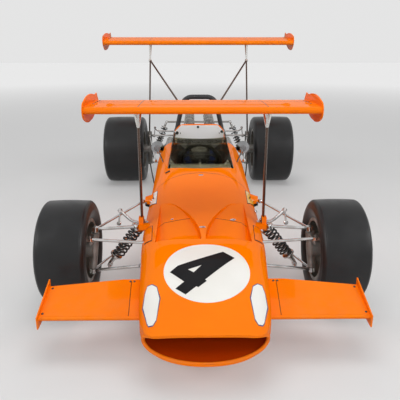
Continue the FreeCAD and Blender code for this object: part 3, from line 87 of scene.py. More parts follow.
# %% Camera
camera_place = Vector((-0.0463, -3.6055, 1.3871))
camera_down = 18.35
camera_turn = 0.73
camera_lens = 43.06
camera_sensor = 36.0
bpy.ops.object.camera_add(location=camera_place)
camera = bpy.context.object
camera.name = "camera"
camera.rotation_euler = (math.radians(90 - camera_down), 0, math.radians(-camera_turn))
camera.data.lens = camera_lens
camera.data.sensor_width = camera_sensor
bpy.context.scene.camera = camera
print("camera height:", round(camera_place.z, 2), "lens:", camera_lens)

# %% [markdown]
# A studio floor has no visible edge. A curved sheet behind the car is the usual way to hide the horizon,
# but it would stand in the way of a view from the side or the back. So the floor is one wide sheet, and its
# finish, which comes with the other finishes, grows paler with distance until it meets the pale sky without
# a line.

# %% Floor
floor_half = 30.0
bpy.ops.mesh.primitive_plane_add(size=2 * floor_half)
floor = bpy.context.object
floor.name = "studio_floor"
bpy.ops.object.mode_set(mode="EDIT")
bpy.ops.mesh.subdivide(number_cuts=7)
bpy.ops.object.mode_set(mode="OBJECT")
put_down()
print("floor:", floor.dimensions[:2])

# %% [markdown]
# The lamps are large and soft, as in a studio. Those overhead, in front and behind light the paint but
# aren't mirrored in it, because their pale reflections would lie over the orange like a veil.


# %% Soft lights
def soft_box(name, place, aim, width, height, power):
    """A rectangular lamp that shines from its place at the aim."""
    bpy.ops.object.light_add(type="AREA", location=place)
    lamp = bpy.context.object
    lamp.name = name
    lamp.data.shape = "RECTANGLE"
    lamp.data.size = width
    lamp.data.size_y = height
    lamp.data.energy = power
    lamp.rotation_euler = (Vector(aim) - Vector(place)).to_track_quat("-Z", "Y").to_euler()
    put_down()
    return lamp


car_middle = Vector((0, 0, 0.4))
lamps = (
    ("lamp_overhead", (0, -0.6, 4.6), 3.2, 2.2, 66, False),
    ("lamp_front", (0.6, -6.8, 3.4), 3.0, 2.0, 145, False),
    ("lamp_left", (-4.6, -3.2, 3.2), 2.6, 2.0, 85, True),
    ("lamp_right", (4.6, -3.0, 3.2), 2.6, 2.0, 85, True),
    ("lamp_rear", (0, 4.2, 5.4), 4.0, 2.0, 72, False),
)
for name, place, width, height, power, mirrored in lamps:
    lamp = soft_box(name, place, car_middle, width, height, power)
    lamp.visible_glossy = mirrored

# %% [markdown]
# A finish is more than a colour. What several finishes share, such as the ripple and dust of paint or the
# grain of a casting, is built once as a node group with named inputs. A group gives out a colour, a
# roughness and a height, and each material keeps its own shader and feeds it from the group. All of them
# read Object coordinates, which stay put on a piece when it moves.

# %% A maker of node groups
def new_effect(name, inputs):
    """An empty effect with these named inputs, and with the three outputs that every effect has."""
    effect = bpy.data.node_groups.new(name, "ShaderNodeTree")
    for label, kind, value in inputs:
        socket = effect.interface.new_socket(label, in_out="INPUT", socket_type=kind)
        socket.default_value = value
    effect.interface.new_socket("Colour", in_out="OUTPUT", socket_type="NodeSocketColor")
    effect.interface.new_socket("Roughness", in_out="OUTPUT", socket_type="NodeSocketFloat")
    effect.interface.new_socket("Height", in_out="OUTPUT", socket_type="NodeSocketFloat")
    return effect, effect.nodes.new("NodeGroupInput"), effect.nodes.new("NodeGroupOutput")


def add_noise(tree, vector, scale, detail=3.0):
    """A noise texture on this vector. The scale is a number or a socket."""
    noise = tree.nodes.new("ShaderNodeTexNoise")
    noise.inputs["Detail"].default_value = detail
    tree.links.new(vector, noise.inputs["Vector"])
    if isinstance(scale, (int, float)):
        noise.inputs["Scale"].default_value = scale
    else:
        tree.links.new(scale, noise.inputs["Scale"])
    return noise.outputs["Fac"]


def add_range(tree, value, low, high, to_low=0.0, to_high=1.0):
    """Stretches a value from one range to another, and clamps it. The new ends are numbers or sockets."""
    fit = tree.nodes.new("ShaderNodeMapRange")
    fit.inputs["From Min"].default_value = low
    fit.inputs["From Max"].default_value = high
    tree.links.new(value, fit.inputs["Value"])
    for label, end in (("To Min", to_low), ("To Max", to_high)):
        if isinstance(end, (int, float)):
            fit.inputs[label].default_value = end
        else:
            tree.links.new(end, fit.inputs[label])
    return fit.outputs["Result"]


def add_math(tree, operation, first, second):
    """One sum. Either side is a number or a socket."""
    node = tree.nodes.new("ShaderNodeMath")
    node.operation = operation
    for slot, side in enumerate((first, second)):
        if isinstance(side, (int, float)):
            node.inputs[slot].default_value = side
        else:
            tree.links.new(side, node.inputs[slot])
    return node.outputs["Value"]


def add_blend(tree, share, first, second):
    """Mixes two colour sockets by a share from nought to one."""
    mix = tree.nodes.new("ShaderNodeMix")
    mix.data_type = "RGBA"
    tree.links.new(share, mix.inputs["Factor"])
    tree.links.new(first, mix.inputs["A"])
    tree.links.new(second, mix.inputs["B"])
    return mix.outputs["Result"]


def seen_directly(tree):
    """One for what an eye, a mirror or glass sees, and nought for the light that falls on the car."""
    paths = tree.nodes.new("ShaderNodeLightPath")
    seen = add_math(tree, "MAXIMUM", paths.outputs["Is Camera Ray"], paths.outputs["Is Glossy Ray"])
    return add_math(tree, "MAXIMUM", seen, paths.outputs["Is Transmission Ray"])


print("an effect gives out: Colour, Roughness, Height")

# %% [markdown]
# The sky does two jobs at two strengths. What an eye, a mirror or glass sees of it is nearly white, as a
# studio's backdrop is, and the light that it sheds on the car is weaker, so that the lamps still give the
# forms their shade.

# %% Sky
sky_light_level = 0.26
sky_seen_level = 0.78
sky = bpy.data.worlds.new("studio_sky")
bpy.context.scene.world = sky
sky.use_nodes = True
sky_tree = sky.node_tree
sky_tree.nodes.clear()
backgrounds = []
for level in (sky_light_level, sky_seen_level):
    background = sky_tree.nodes.new("ShaderNodeBackground")
    background.inputs["Color"].default_value = (1, 1, 1, 1)
    background.inputs["Strength"].default_value = level
    backgrounds.append(background)
choose = sky_tree.nodes.new("ShaderNodeMixShader")
sky_out = sky_tree.nodes.new("ShaderNodeOutputWorld")
sky_tree.links.new(seen_directly(sky_tree), choose.inputs["Fac"])
for slot, background in enumerate(backgrounds, start=1):
    sky_tree.links.new(background.outputs["Background"], choose.inputs[slot])
sky_tree.links.new(choose.outputs["Shader"], sky_out.inputs["Surface"])
bpy.context.scene.view_settings.view_transform = "Standard"
print("sky sheds", sky_light_level, "and shows", sky_seen_level)

# %% [markdown]
# The floor's finish has two parts. A plain pale matt surface takes the lamps and keeps the car's shadow,
# and a faint glow, which only the eye, mirrors and glass see, lifts it to the sky's tone. Close to the car
# the glow is weak, so the shadow shows, and it grows with the distance from the car, where the lamps no
# longer reach.

# %% Floor finish
floor_tone = 0.55
glow_near = 0.18
glow_far = sky_seen_level - floor_tone * sky_light_level
glow_starts = 2.5
glow_ends = 14.0
floor_finish = bpy.data.materials.new("studio_floor")
floor_finish.use_nodes = True
floor_tree = floor_finish.node_tree
floor_shader = floor_tree.nodes["Principled BSDF"]
floor_shader.inputs["Base Color"].default_value = (floor_tone, floor_tone, floor_tone, 1)
floor_shader.inputs["Roughness"].default_value = 0.8
floor_shader.inputs["Specular IOR Level"].default_value = 0.1
floor_place = floor_tree.nodes.new("ShaderNodeTexCoord").outputs["Object"]
from_car = floor_tree.nodes.new("ShaderNodeVectorMath")
from_car.operation = "LENGTH"
floor_tree.links.new(floor_place, from_car.inputs[0])
glow = add_range(floor_tree, from_car.outputs["Value"], glow_starts, glow_ends, glow_near, glow_far)
glow_seen = add_math(floor_tree, "MULTIPLY", glow, seen_directly(floor_tree))
floor_shader.inputs["Emission Color"].default_value = (1, 1, 1, 1)
floor_tree.links.new(glow_seen, floor_shader.inputs["Emission Strength"])
floor.data.materials.append(floor_finish)
print("floor glow far off:", round(glow_far, 2))


# %% Paint that has been raced
def cloud_and_smears(tree, place):
    """Two masks of sprayed paint: wide soft clouds, and smaller smears where it has dulled."""
    cloud = add_range(tree, add_noise(tree, place, 4.0, 4.0), 0.35, 0.65)
    smears = add_range(tree, add_noise(tree, place, 22.0, 6.0), 0.3, 0.7)
    return cloud, smears


def paint_effect():
    """Slightly uneven colour, a fine ripple as sprayed paint has, and road dust low on the body."""
    tree, start, end = new_effect(
        "raced_paint",
        [
            ("Paint", "NodeSocketColor", (0.8, 0.8, 0.8, 1)),
            ("Deep", "NodeSocketColor", (0.7, 0.7, 0.7, 1)),
            ("Dust", "NodeSocketColor", (0.35, 0.28, 0.2, 1)),
            ("Dust Amount", "NodeSocketFloat", 0.25),
            ("Ripple Scale", "NodeSocketFloat", 140.0),
            ("Gloss", "NodeSocketFloat", 0.28),
            ("Dull", "NodeSocketFloat", 0.42),
        ],
    )
    place = tree.nodes.new("ShaderNodeTexCoord").outputs["Object"]
    cloud, smears = cloud_and_smears(tree, place)
    split = tree.nodes.new("ShaderNodeSeparateXYZ")
    tree.links.new(place, split.inputs["Vector"])
    low_down = add_range(tree, split.outputs["Z"], 0.1, 0.3, 1.0, 0.0)
    dirt = add_math(tree, "MULTIPLY", low_down, smears)
    dirt = add_math(tree, "MULTIPLY", dirt, start.outputs["Dust Amount"])
    shade = add_blend(tree, cloud, start.outputs["Paint"], start.outputs["Deep"])
    tree.links.new(add_blend(tree, dirt, shade, start.outputs["Dust"]), end.inputs["Colour"])
    shine = add_range(tree, smears, 0.0, 1.0, start.outputs["Gloss"], start.outputs["Dull"])
    tree.links.new(shine, end.inputs["Roughness"])
    tree.links.new(add_noise(tree, place, start.outputs["Ripple Scale"], 1.0), end.inputs["Height"])
    return tree


raced_paint = paint_effect()
print("effect:", raced_paint.name)


# %% Metal that was cast or worked
def metal_effect():
    """Two tones of metal mixed by patches, with a grain that the stretch can draw out into marks."""
    tree, start, end = new_effect(
        "worked_metal",
        [
            ("Metal", "NodeSocketColor", (0.6, 0.6, 0.6, 1)),
            ("Tarnish", "NodeSocketColor", (0.4, 0.4, 0.4, 1)),
            ("Stretch", "NodeSocketVector", (1.0, 1.0, 1.0)),
            ("Grain Scale", "NodeSocketFloat", 220.0),
            ("Smooth", "NodeSocketFloat", 0.2),
            ("Rough", "NodeSocketFloat", 0.4),
        ],
    )
    place = tree.nodes.new("ShaderNodeTexCoord").outputs["Object"]
    drawn = tree.nodes.new("ShaderNodeVectorMath")
    drawn.operation = "MULTIPLY"
    tree.links.new(place, drawn.inputs[0])
    tree.links.new(start.outputs["Stretch"], drawn.inputs[1])
    grain = add_noise(tree, drawn.outputs["Vector"], start.outputs["Grain Scale"], 2.0)
    patches = add_range(tree, add_noise(tree, place, 18.0, 5.0), 0.35, 0.7)
    colour = add_blend(tree, patches, start.outputs["Metal"], start.outputs["Tarnish"])
    tree.links.new(colour, end.inputs["Colour"])
    both = add_math(tree, "MULTIPLY", add_math(tree, "ADD", grain, patches), 0.5)
    shine = add_range(tree, both, 0.2, 0.8, start.outputs["Smooth"], start.outputs["Rough"])
    tree.links.new(shine, end.inputs["Roughness"])
    tree.links.new(grain, end.inputs["Height"])
    return tree


worked_metal = metal_effect()
print("effect:", worked_metal.name)


# %% Rubber and leather
def skin_effect():
    """A cracked cell grain, as leather and vinyl have, or a fine bloom, as rubber has, from tiny cells."""
    tree, start, end = new_effect(
        "grained_skin",
        [
            ("Skin", "NodeSocketColor", (0.03, 0.03, 0.03, 1)),
            ("Worn", "NodeSocketColor", (0.08, 0.08, 0.08, 1)),
            ("Wear Scale", "NodeSocketFloat", 12.0),
            ("Cell Scale", "NodeSocketFloat", 420.0),
            ("Smooth", "NodeSocketFloat", 0.35),
            ("Rough", "NodeSocketFloat", 0.6),
        ],
    )
    place = tree.nodes.new("ShaderNodeTexCoord").outputs["Object"]
    cells = tree.nodes.new("ShaderNodeTexVoronoi")
    cells.feature = "DISTANCE_TO_EDGE"
    tree.links.new(place, cells.inputs["Vector"])
    tree.links.new(start.outputs["Cell Scale"], cells.inputs["Scale"])
    worn = add_range(tree, add_noise(tree, place, start.outputs["Wear Scale"], 5.0), 0.45, 0.75)
    tree.links.new(add_blend(tree, worn, start.outputs["Skin"], start.outputs["Worn"]), end.inputs["Colour"])
    shine = add_range(tree, worn, 0.0, 1.0, start.outputs["Smooth"], start.outputs["Rough"])
    tree.links.new(shine, end.inputs["Roughness"])
    tree.links.new(add_range(tree, cells.outputs["Distance"], 0.0, 0.12), end.inputs["Height"])
    return tree


grained_skin = skin_effect()
print("effect:", grained_skin.name)


# %% Woven webbing
def weave_effect():
    """Two crossed waves: one for the threads that run along, one for those that run across."""
    tree, start, end = new_effect(
        "woven_threads",
        [
            ("Thread", "NodeSocketColor", (0.1, 0.1, 0.4, 1)),
            ("Gap", "NodeSocketColor", (0.02, 0.02, 0.1, 1)),
            ("Threads Across", "NodeSocketFloat", 180.0),
            ("Threads Along", "NodeSocketFloat", 180.0),
            ("Smooth", "NodeSocketFloat", 0.6),
            ("Rough", "NodeSocketFloat", 0.85),
        ],
    )
    place = tree.nodes.new("ShaderNodeTexCoord").outputs["Object"]
    lifts = []
    for direction, label in (("X", "Threads Across"), ("Z", "Threads Along")):
        wave = tree.nodes.new("ShaderNodeTexWave")
        wave.bands_direction = direction
        tree.links.new(place, wave.inputs["Vector"])
        tree.links.new(start.outputs[label], wave.inputs["Scale"])
        lifts.append(wave.outputs["Fac"])
    height = add_math(tree, "MULTIPLY", lifts[0], lifts[1])
    on_thread = add_range(tree, height, 0.0, 0.5)
    colour = add_blend(tree, on_thread, start.outputs["Gap"], start.outputs["Thread"])
    tree.links.new(colour, end.inputs["Colour"])
    shine = add_range(tree, height, 0.0, 1.0, start.outputs["Rough"], start.outputs["Smooth"])
    tree.links.new(shine, end.inputs["Roughness"])
    tree.links.new(height, end.inputs["Height"])
    return tree


woven_threads = weave_effect()
print("effect:", woven_threads.name)


# %% A maker of finishes
def make_finish(
    name,
    effect,
    values,
    metallic=0.0,
    coat=0.0,
    coat_roughness=0.03,
    bump=0.1,
    bump_depth=0.0004,
    specular=0.5,
):
    """A material whose shader is fed with colour, roughness and bump by an effect with these values."""
    finish = bpy.data.materials.new(name)
    finish.use_nodes = True
    tree = finish.node_tree
    shader = tree.nodes["Principled BSDF"]
    shader.inputs["Metallic"].default_value = metallic
    shader.inputs["Specular IOR Level"].default_value = specular
    shader.inputs["Coat Weight"].default_value = coat
    shader.inputs["Coat Roughness"].default_value = coat_roughness
    source = tree.nodes.new("ShaderNodeGroup")
    source.node_tree = effect
    for label, value in values.items():
        source.inputs[label].default_value = value
    relief = tree.nodes.new("ShaderNodeBump")
    relief.inputs["Strength"].default_value = bump
    relief.inputs["Distance"].default_value = bump_depth
    tree.links.new(source.outputs["Colour"], shader.inputs["Base Color"])
    tree.links.new(source.outputs["Roughness"], shader.inputs["Roughness"])
    tree.links.new(source.outputs["Height"], relief.inputs["Height"])
    tree.links.new(relief.outputs["Normal"], shader.inputs["Normal"])
    return finish


def opaque(red, green, blue):
    """A solid colour as a socket takes it."""
    return (red, green, blue, 1.0)


print("finishes are made by make_finish")

# %% [markdown]
# A painted finish is two near tones of one colour, with a clear coat and some dust. The orange has no gloss
# of its own under its coat, so that it keeps its full colour, and the white panel behind the driver is
# wiped clean.


# %% Painted finishes
def painted(name, paint, deep, dust=0.1, coat=0.8, bump=0.05, specular=0.5):
    """A finish of raced paint in these two tones."""
    values = {"Paint": opaque(*paint), "Deep": opaque(*deep), "Dust Amount": dust}
    return make_finish(name, raced_paint, values, coat=coat, bump=bump, specular=specular)


orange_tone = (0.96, 0.205, 0.0004)
deep_orange_tone = (0.92, 0.186, 0.0004)
orange_coat = 0.3
black_tone = (0.008, 0.008, 0.009)
deep_black_tone = (0.012, 0.012, 0.013)
orange = painted("orange_paint", orange_tone, deep_orange_tone, 0.15, orange_coat, specular=0.0)
white = painted("white_paint", (0.83, 0.82, 0.78), (0.78, 0.77, 0.72))
panel_white = painted("panel_white", (0.95, 0.95, 0.96), (0.92, 0.92, 0.93), 0.0, 0.5, 0.02)
number_black = painted("number_black", black_tone, deep_black_tone, 0.05, 0.15, specular=0.05)
yellow = painted("yellow_paint", (0.8, 0.5, 0.03), (0.72, 0.42, 0.02))
outline_blue = painted("outline_blue", (0.02, 0.035, 0.16), (0.02, 0.03, 0.12))
satin_black = make_finish(
    "satin_black",
    raced_paint,
    {"Paint": opaque(0.022, 0.022, 0.024), "Deep": opaque(0.03, 0.03, 0.032), "Gloss": 0.4, "Dull": 0.55},
    bump=0.1,
)
pipe_black = make_finish(
    "pipe_black",
    raced_paint,
    {
        "Paint": opaque(0.012, 0.012, 0.013),
        "Deep": opaque(0.035, 0.026, 0.02),
        "Gloss": 0.18,
        "Dull": 0.34,
        "Ripple Scale": 90.0,
    },
    coat=0.7,
    coat_roughness=0.12,
    bump=0.12,
)
print("painted finishes:", [finish.name for finish in (orange, white, panel_white, yellow, outline_blue)])

# %% [markdown]
# A metal is told by its two tones and by how smooth it is. Plated and turned steel is smooth and pale,
# blued steel is dark, and a casting is rough, with a grain that catches the light. The edge of a brake disc
# is turned, so its grain is drawn out round it.


# %% Metal finishes
def metal(name, bright, tarnish, smooth, rough, metallic=1.0, bump=0.05, bump_depth=0.0004, grain=220.0):
    """A finish of worked metal in these two tones, between this smoothness and this roughness."""
    values = {"Metal": opaque(*bright), "Tarnish": opaque(*tarnish), "Grain Scale": grain}
    values.update({"Smooth": smooth, "Rough": rough})
    return make_finish(name, worked_metal, values, metallic=metallic, bump=bump, bump_depth=bump_depth)


bright_metal = metal("plated_steel", (0.72, 0.72, 0.72), (0.5, 0.49, 0.47), 0.1, 0.26)
dark_steel = metal("blued_steel", (0.16, 0.145, 0.14), (0.09, 0.075, 0.07), 0.14, 0.34, 0.9)
cast_alloy = metal(
    "cast_alloy",
    (0.46, 0.45, 0.43),
    (0.3, 0.29, 0.27),
    0.38,
    0.62,
    metallic=0.85,
    bump=0.35,
    bump_depth=0.0006,
    grain=420.0,
)
wheel_alloy = metal(
    "wheel_alloy",
    (0.34, 0.325, 0.29),
    (0.2, 0.185, 0.16),
    0.3,
    0.5,
    metallic=0.9,
    bump=0.25,
    bump_depth=0.0005,
    grain=300.0,
)
gauze_wire = metal("gauze_wire", (0.62, 0.6, 0.56), (0.4, 0.38, 0.35), 0.3, 0.5, bump=0.1)
gauze_shade = metal("gauze_shade", (0.2, 0.2, 0.2), (0.1, 0.1, 0.1), 0.4, 0.6, 0.8, 0.1)
mirror_shell = metal("mirror_shell", (0.36, 0.36, 0.37), (0.26, 0.26, 0.26), 0.08, 0.2, bump=0.08)
mirror_silver = metal("mirror_silver", (0.86, 0.87, 0.88), (0.8, 0.8, 0.8), 0.02, 0.06, bump=0.01)
turned_alloy = metal("turned_alloy", (0.76, 0.76, 0.75), (0.62, 0.61, 0.58), 0.14, 0.3)
disc_iron = make_finish(
    "disc_iron",
    worked_metal,
    {
        "Metal": opaque(0.5, 0.49, 0.47),
        "Tarnish": opaque(0.34, 0.3, 0.26),
        "Stretch": (40.0, 1.0, 1.0),
        "Smooth": 0.25,
        "Rough": 0.45,
    },
    metallic=1.0,
)
print("metal finishes:", [finish.name for finish in (bright_metal, dark_steel, cast_alloy, disc_iron)])

# %% [markdown]
# Rubber, vinyl and leather are one effect with other values: tiny cells for the tyres, larger ones for the
# pad and the grip. The belts are woven, so they use the effect with the crossed threads.

# %% Rubber, vinyl and webbing
tyre_rubber = make_finish(
    "tyre_rubber",
    grained_skin,
    {
        "Skin": opaque(0.009, 0.009, 0.0095),
        "Worn": opaque(0.015, 0.015, 0.016),
        "Wear Scale": 9.0,
        "Cell Scale": 900.0,
        "Smooth": 0.36,
        "Rough": 0.52,
    },
    bump=0.05,
    specular=0.4,
)
black_vinyl = make_finish(
    "black_vinyl",
    grained_skin,
    {"Skin": opaque(0.02, 0.02, 0.021), "Worn": opaque(0.035, 0.034, 0.033), "Smooth": 0.38, "Rough": 0.55},
    bump=0.5,
)
grip_leather = make_finish(
    "grip_leather",
    grained_skin,
    {"Skin": opaque(0.018, 0.015, 0.013), "Worn": opaque(0.05, 0.04, 0.032), "Wear Scale": 30.0},
    bump=0.6,
)
blue_webbing = make_finish(
    "blue_webbing",
    woven_threads,
    {"Thread": opaque(0.02, 0.05, 0.32), "Gap": opaque(0.008, 0.015, 0.1)},
    bump=0.6,
    bump_depth=0.0006,
)
lead_rubber = make_finish(
    "lead_rubber",
    grained_skin,
    {"Skin": opaque(0.02, 0.02, 0.02), "Worn": opaque(0.05, 0.05, 0.05), "Smooth": 0.4, "Rough": 0.6},
    bump=0.2,
)
print("soft finishes:", [finish.name for finish in (tyre_rubber, black_vinyl, grip_leather, blue_webbing)])

# %% [markdown]
# The screen is thin sheet, so it hardly bends the light: its index is close to that of air, and it has a
# smoky tint. The glass of a dial is mostly seen through, with only a share of it left to catch the sky.


# %% Clear finishes
def clear_finish(name, tint, roughness, thin_alpha, index):
    """A see-through sheet: light passes with a tint, and its edges and reflections stay."""
    finish = bpy.data.materials.new(name)
    finish.use_nodes = True
    tree = finish.node_tree
    shader = tree.nodes["Principled BSDF"]
    shader.inputs["Base Color"].default_value = tint
    shader.inputs["Transmission Weight"].default_value = 1.0
    shader.inputs["IOR"].default_value = index
    shader.inputs["Alpha"].default_value = thin_alpha
    place = tree.nodes.new("ShaderNodeTexCoord").outputs["Object"]
    haze = add_range(tree, add_noise(tree, place, 35.0, 5.0), 0.4, 0.8, roughness, 4 * roughness)
    tree.links.new(haze, shader.inputs["Roughness"])
    return finish


tinted_screen = clear_finish("tinted_screen", opaque(0.34, 0.33, 0.23), 0.001, 0.9, 1.06)
dial_glass = clear_finish("dial_glass", opaque(0.95, 0.95, 0.95), 0.01, 0.35, 1.3)
print("clear finishes:", tinted_screen.name, dial_glass.name)

# %% [markdown]
# Most solids already have the right shape, so they only need their finish. The list reads like a paint
# shop's sheet: each finish, and the solids that wear it. A solid keeps its mesh and its place, and only the
# material in its slots changes. The tub, the two cowls and the wing struts get theirs further down, where
# their finish is made, and the tyres, dampers and seat give way to new pieces.


# %% Finish for each solid
def wear(node, finish):
    """Puts this finish in every slot of a solid."""
    for slot in frame["nodes"][node].material_slots:
        slot.material = finish


def ending(words):
    """The names of the solids that end with these words."""
    return [node for node in sorted(frame["nodes"]) if node.endswith(words)]


paint_sheet = {
    orange: ["nose_fins", "front_wing", "rear_wing"],
    panel_white: ["headrest_panel"],
    tinted_screen: ["windscreen"],
    satin_black: ["dash_panel", "roll_hoop", "steering_wheel", "radiator"],
    mirror_shell: ["mirrors"],
    bright_metal: ["steering_column", "steering_rack"] + ending("_links"),
    dark_steel: ending("_half_shaft"),
    cast_alloy: ["engine_block", "gearbox", "rack_housing"] + ending("_knuckle") + ending("_upright"),
    wheel_alloy: ending("_rim"),
    disc_iron: ending("_brake_disc"),
    turned_alloy: ["intake_trumpets"],
    pipe_black: ["exhausts"],
}
for finish, nodes in paint_sheet.items():
    for node in nodes:
        wear(node, finish)
print("solids with a finish:", sum(len(nodes) for nodes in paint_sheet.values()))

# %% [markdown]
# Anything round is easiest to make as a potter would: draw half of its outline and spin it. The outline is
# drawn one extrusion at a time from a single point, the spin operator turns it about an axis, and merging
# the doubled points closes the seam and the poles. Then the normals are made to point outwards.


# %% Tools for new pieces
start_size = 0.01
merge_distance = 0.00002


def drawn_line(name, points, closed=False):
    """A chain of edges through these points. The new mesh is left in edit mode, all selected."""
    bpy.ops.mesh.primitive_plane_add(size=start_size, location=points[0])
    piece = bpy.context.object
    piece.name = name
    bpy.ops.object.mode_set(mode="EDIT")
    bpy.ops.mesh.merge(type="CENTER")
    stops = list(points[1:]) + ([points[0]] if closed else [])
    here = Vector(points[0])
    for stop in stops:
        bpy.ops.mesh.extrude_vertices_move(TRANSFORM_OT_translate={"value": Vector(stop) - here})
        here = Vector(stop)
    bpy.ops.mesh.select_all(action="SELECT")
    return piece


def drawn_sheet(name, points, divisions=0):
    """A face with this outline, cut into small faces if it has divisions. It is left in edit mode."""
    sheet = drawn_line(name, points, closed=True)
    bpy.ops.mesh.remove_doubles(threshold=merge_distance)
    bpy.ops.mesh.select_all(action="SELECT")
    bpy.ops.mesh.edge_face_add()
    if divisions:
        bpy.ops.mesh.subdivide(number_cuts=divisions)
    return sheet


def put_in_mesh():
    """Leaves edit mode, and works the object's place, turn and size into its mesh."""
    bpy.ops.object.mode_set(mode="OBJECT")
    bpy.ops.object.transform_apply(location=True, rotation=True, scale=True)


def close_up():
    """Merges doubled points, turns the faces outwards and leaves edit mode."""
    bpy.ops.mesh.select_all(action="SELECT")
    bpy.ops.mesh.remove_doubles(threshold=merge_distance)
    bpy.ops.mesh.normals_make_consistent(inside=False)
    bpy.ops.object.mode_set(mode="OBJECT")


def turned(name, profile, centre, axis=(1, 0, 0), steps=32, closed=False):
    """A profile of (place along the axis, radius) spun once round an axis through the centre."""
    along = Vector(axis).normalized()
    out = along.orthogonal().normalized()
    points = [Vector(centre) + along * place + out * radius for place, radius in profile]
    piece = drawn_line(name, points, closed)
    bpy.ops.mesh.spin(steps=steps, angle=2 * math.pi, center=centre, axis=along)
    close_up()
    return piece


def apply_modifiers(piece):
    """Works every modifier into the mesh, in order."""
    take_up(piece)
    for modifier in list(piece.modifiers):
        bpy.ops.object.modifier_apply(modifier=modifier.name)


def rounded(piece, levels=1):
    """Adds and applies one subdivision surface."""
    take_up(piece)
    smooth = piece.modifiers.new("round", "SUBSURF")
    smooth.levels = levels
    smooth.render_levels = levels
    apply_modifiers(piece)


def thickened(piece, thickness):
    """Gives a sheet its thickness, half to each side."""
    thick = piece.modifiers.new("thick", "SOLIDIFY")
    thick.thickness = thickness
    thick.offset = 0
    apply_modifiers(piece)


def bevelled(piece, width, segments=2, limit=40):
    """Takes the sharpness off the edges that turn by more than the limit, in degrees."""
    take_up(piece)
    bevel = piece.modifiers.new("bevel", "BEVEL")
    bevel.width = width
    bevel.segments = segments
    bevel.limit_method = "ANGLE"
    bevel.angle_limit = math.radians(limit)
    apply_modifiers(piece)


crisp_angle = 35.0
soft_angle = 60.0
smooth_angle = 80.0


def finished(piece, body, finish, sharp=crisp_angle):
    """The last step for a new piece. Its place goes into its mesh, and it gets its finish and its body.
    Edges that turn by less than the sharp angle, in degrees, are shaded smooth."""
    take_up(piece)
    bpy.ops.object.transform_apply(location=True, rotation=True, scale=True)
    bpy.ops.object.shade_smooth_by_angle(angle=math.radians(sharp))
    piece.data.materials.clear()
    piece.data.materials.append(finish)
    piece.data.name = piece.name
    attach(piece, body)
    put_down()
    return piece


def joined(name, pieces):
    """Several pieces as one mesh."""
    take_up(pieces[0])
    for piece in pieces:
        piece.select_set(True)
    bpy.ops.object.join()
    whole = bpy.context.object
    whole.name = name
    put_down()
    return whole


def copied(piece, name, matrix):
    """A copy with its own mesh, put through this matrix."""
    twin = piece.copy()
    twin.data = piece.data.copy()
    twin.name = name
    bpy.context.scene.collection.objects.link(twin)
    twin.data.transform(matrix)
    if matrix.determinant() < 0:
        twin.data.flip_normals()
    return twin


def set_out(model, name, matrices):
    """Copies of a model, one put through each matrix, as one piece. The model itself goes."""
    copies = [copied(model, name + "_copy", matrix) for matrix in matrices]
    bpy.data.objects.remove(model)
    return joined(name, copies)


def both_sides(piece, body, left_finish, right_finish, sharp=crisp_angle):
    """Finishes a piece of the left side, and a mirrored copy of it for the right side."""
    twin = copied(piece, piece.name.replace("left", "right"), mirror_across)
    finished(twin, body, right_finish, sharp)
    finished(piece, body, left_finish, sharp)


def spans(piece):
    """How long the piece is along each axis, to print."""
    return [round(length, 3) for length in piece.dimensions]


mirror_across = Matrix.Scale(-1, 4, Vector((1, 0, 0)))
origin = Vector()
across = Vector((1, 0, 0))
forwards = Vector((0, -1, 0))
backwards = Vector((0, 1, 0))
upwards = Vector((0, 0, 1))
side_names = (("left", 1), ("right", -1))
print("tools ready: drawn_line, drawn_sheet, turned, rounded, bevelled, finished, joined, copied")

# %% [markdown]
# The tyres are what the eye meets first. A racing slick has a flat tread with a slight crown, a tight
# shoulder, a thin raised mould line beside it and a bulging sidewall with two low rings. The section is
# written as shares of half the width and of the tyre's height above the rim, so that the front and rear
# tyres share one drawing. It is drawn round as a closed loop, spun, and rounded once.

# %% Section of a tyre
outer_half_section = [
    (0.74, -0.05),
    (0.80, 0.0),
    (0.86, 0.03),
    (0.885, 0.09),
    (0.94, 0.2),
    (0.985, 0.36),
    (0.995, 0.47),
    (1.005, 0.5),
    (0.998, 0.53),
    (0.985, 0.66),
    (0.968, 0.745),
    (0.974, 0.76),
    (0.958, 0.79),
    (0.925, 0.88),
    (0.875, 0.945),
    (0.825, 0.968),
    (0.812, 0.972),
    (0.805, 0.962),
    (0.796, 0.974),
    (0.5, 0.99),
    (0.22, 0.998),
]
inner_half_section = [(0.2, 0.86), (0.55, 0.84), (0.82, 0.68), (0.86, 0.45), (0.78, 0.15), (0.7, 0.0)]
print("points in half a section:", len(outer_half_section) + len(inner_half_section))


# %% Tyres
def tyre_loop(half_width, bead, crown):
    """The closed section as (across, radius) points."""
    rise = crown - bead
    right = [(x * half_width, bead + z * rise) for x, z in outer_half_section]
    left = [(-x, z) for x, z in reversed(right)]
    inside_left = [(-x * half_width, bead + z * rise) for x, z in reversed(inner_half_section)]
    inside_right = [(x * half_width, bead + z * rise) for x, z in inner_half_section]
    return right + [(0.0, crown)] + left + inside_left + inside_right


front_bead_radius = 0.172
rear_bead_radius = 0.197
corners = {
    "front_left": front_bead_radius,
    "front_right": front_bead_radius,
    "rear_left": rear_bead_radius,
    "rear_right": rear_bead_radius,
}
tyre_steps = 56
sidewall_share = 0.995
for corner, bead_radius in corners.items():
    low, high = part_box(corner + "_tyre")
    hub = (low + high) / 2
    loop = tyre_loop((high.x - low.x) / 2 * sidewall_share, bead_radius, (high.z - low.z) / 2)
    tyre = turned(corner + "_slick", loop, hub, across, tyre_steps, closed=True)
    rounded(tyre)
    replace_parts(finished(tyre, corner + "_wheel", tyre_rubber, soft_angle), corner + "_tyre")
print("tyre faces:", len(tyre.data.polygons), "spans:", spans(tyre))

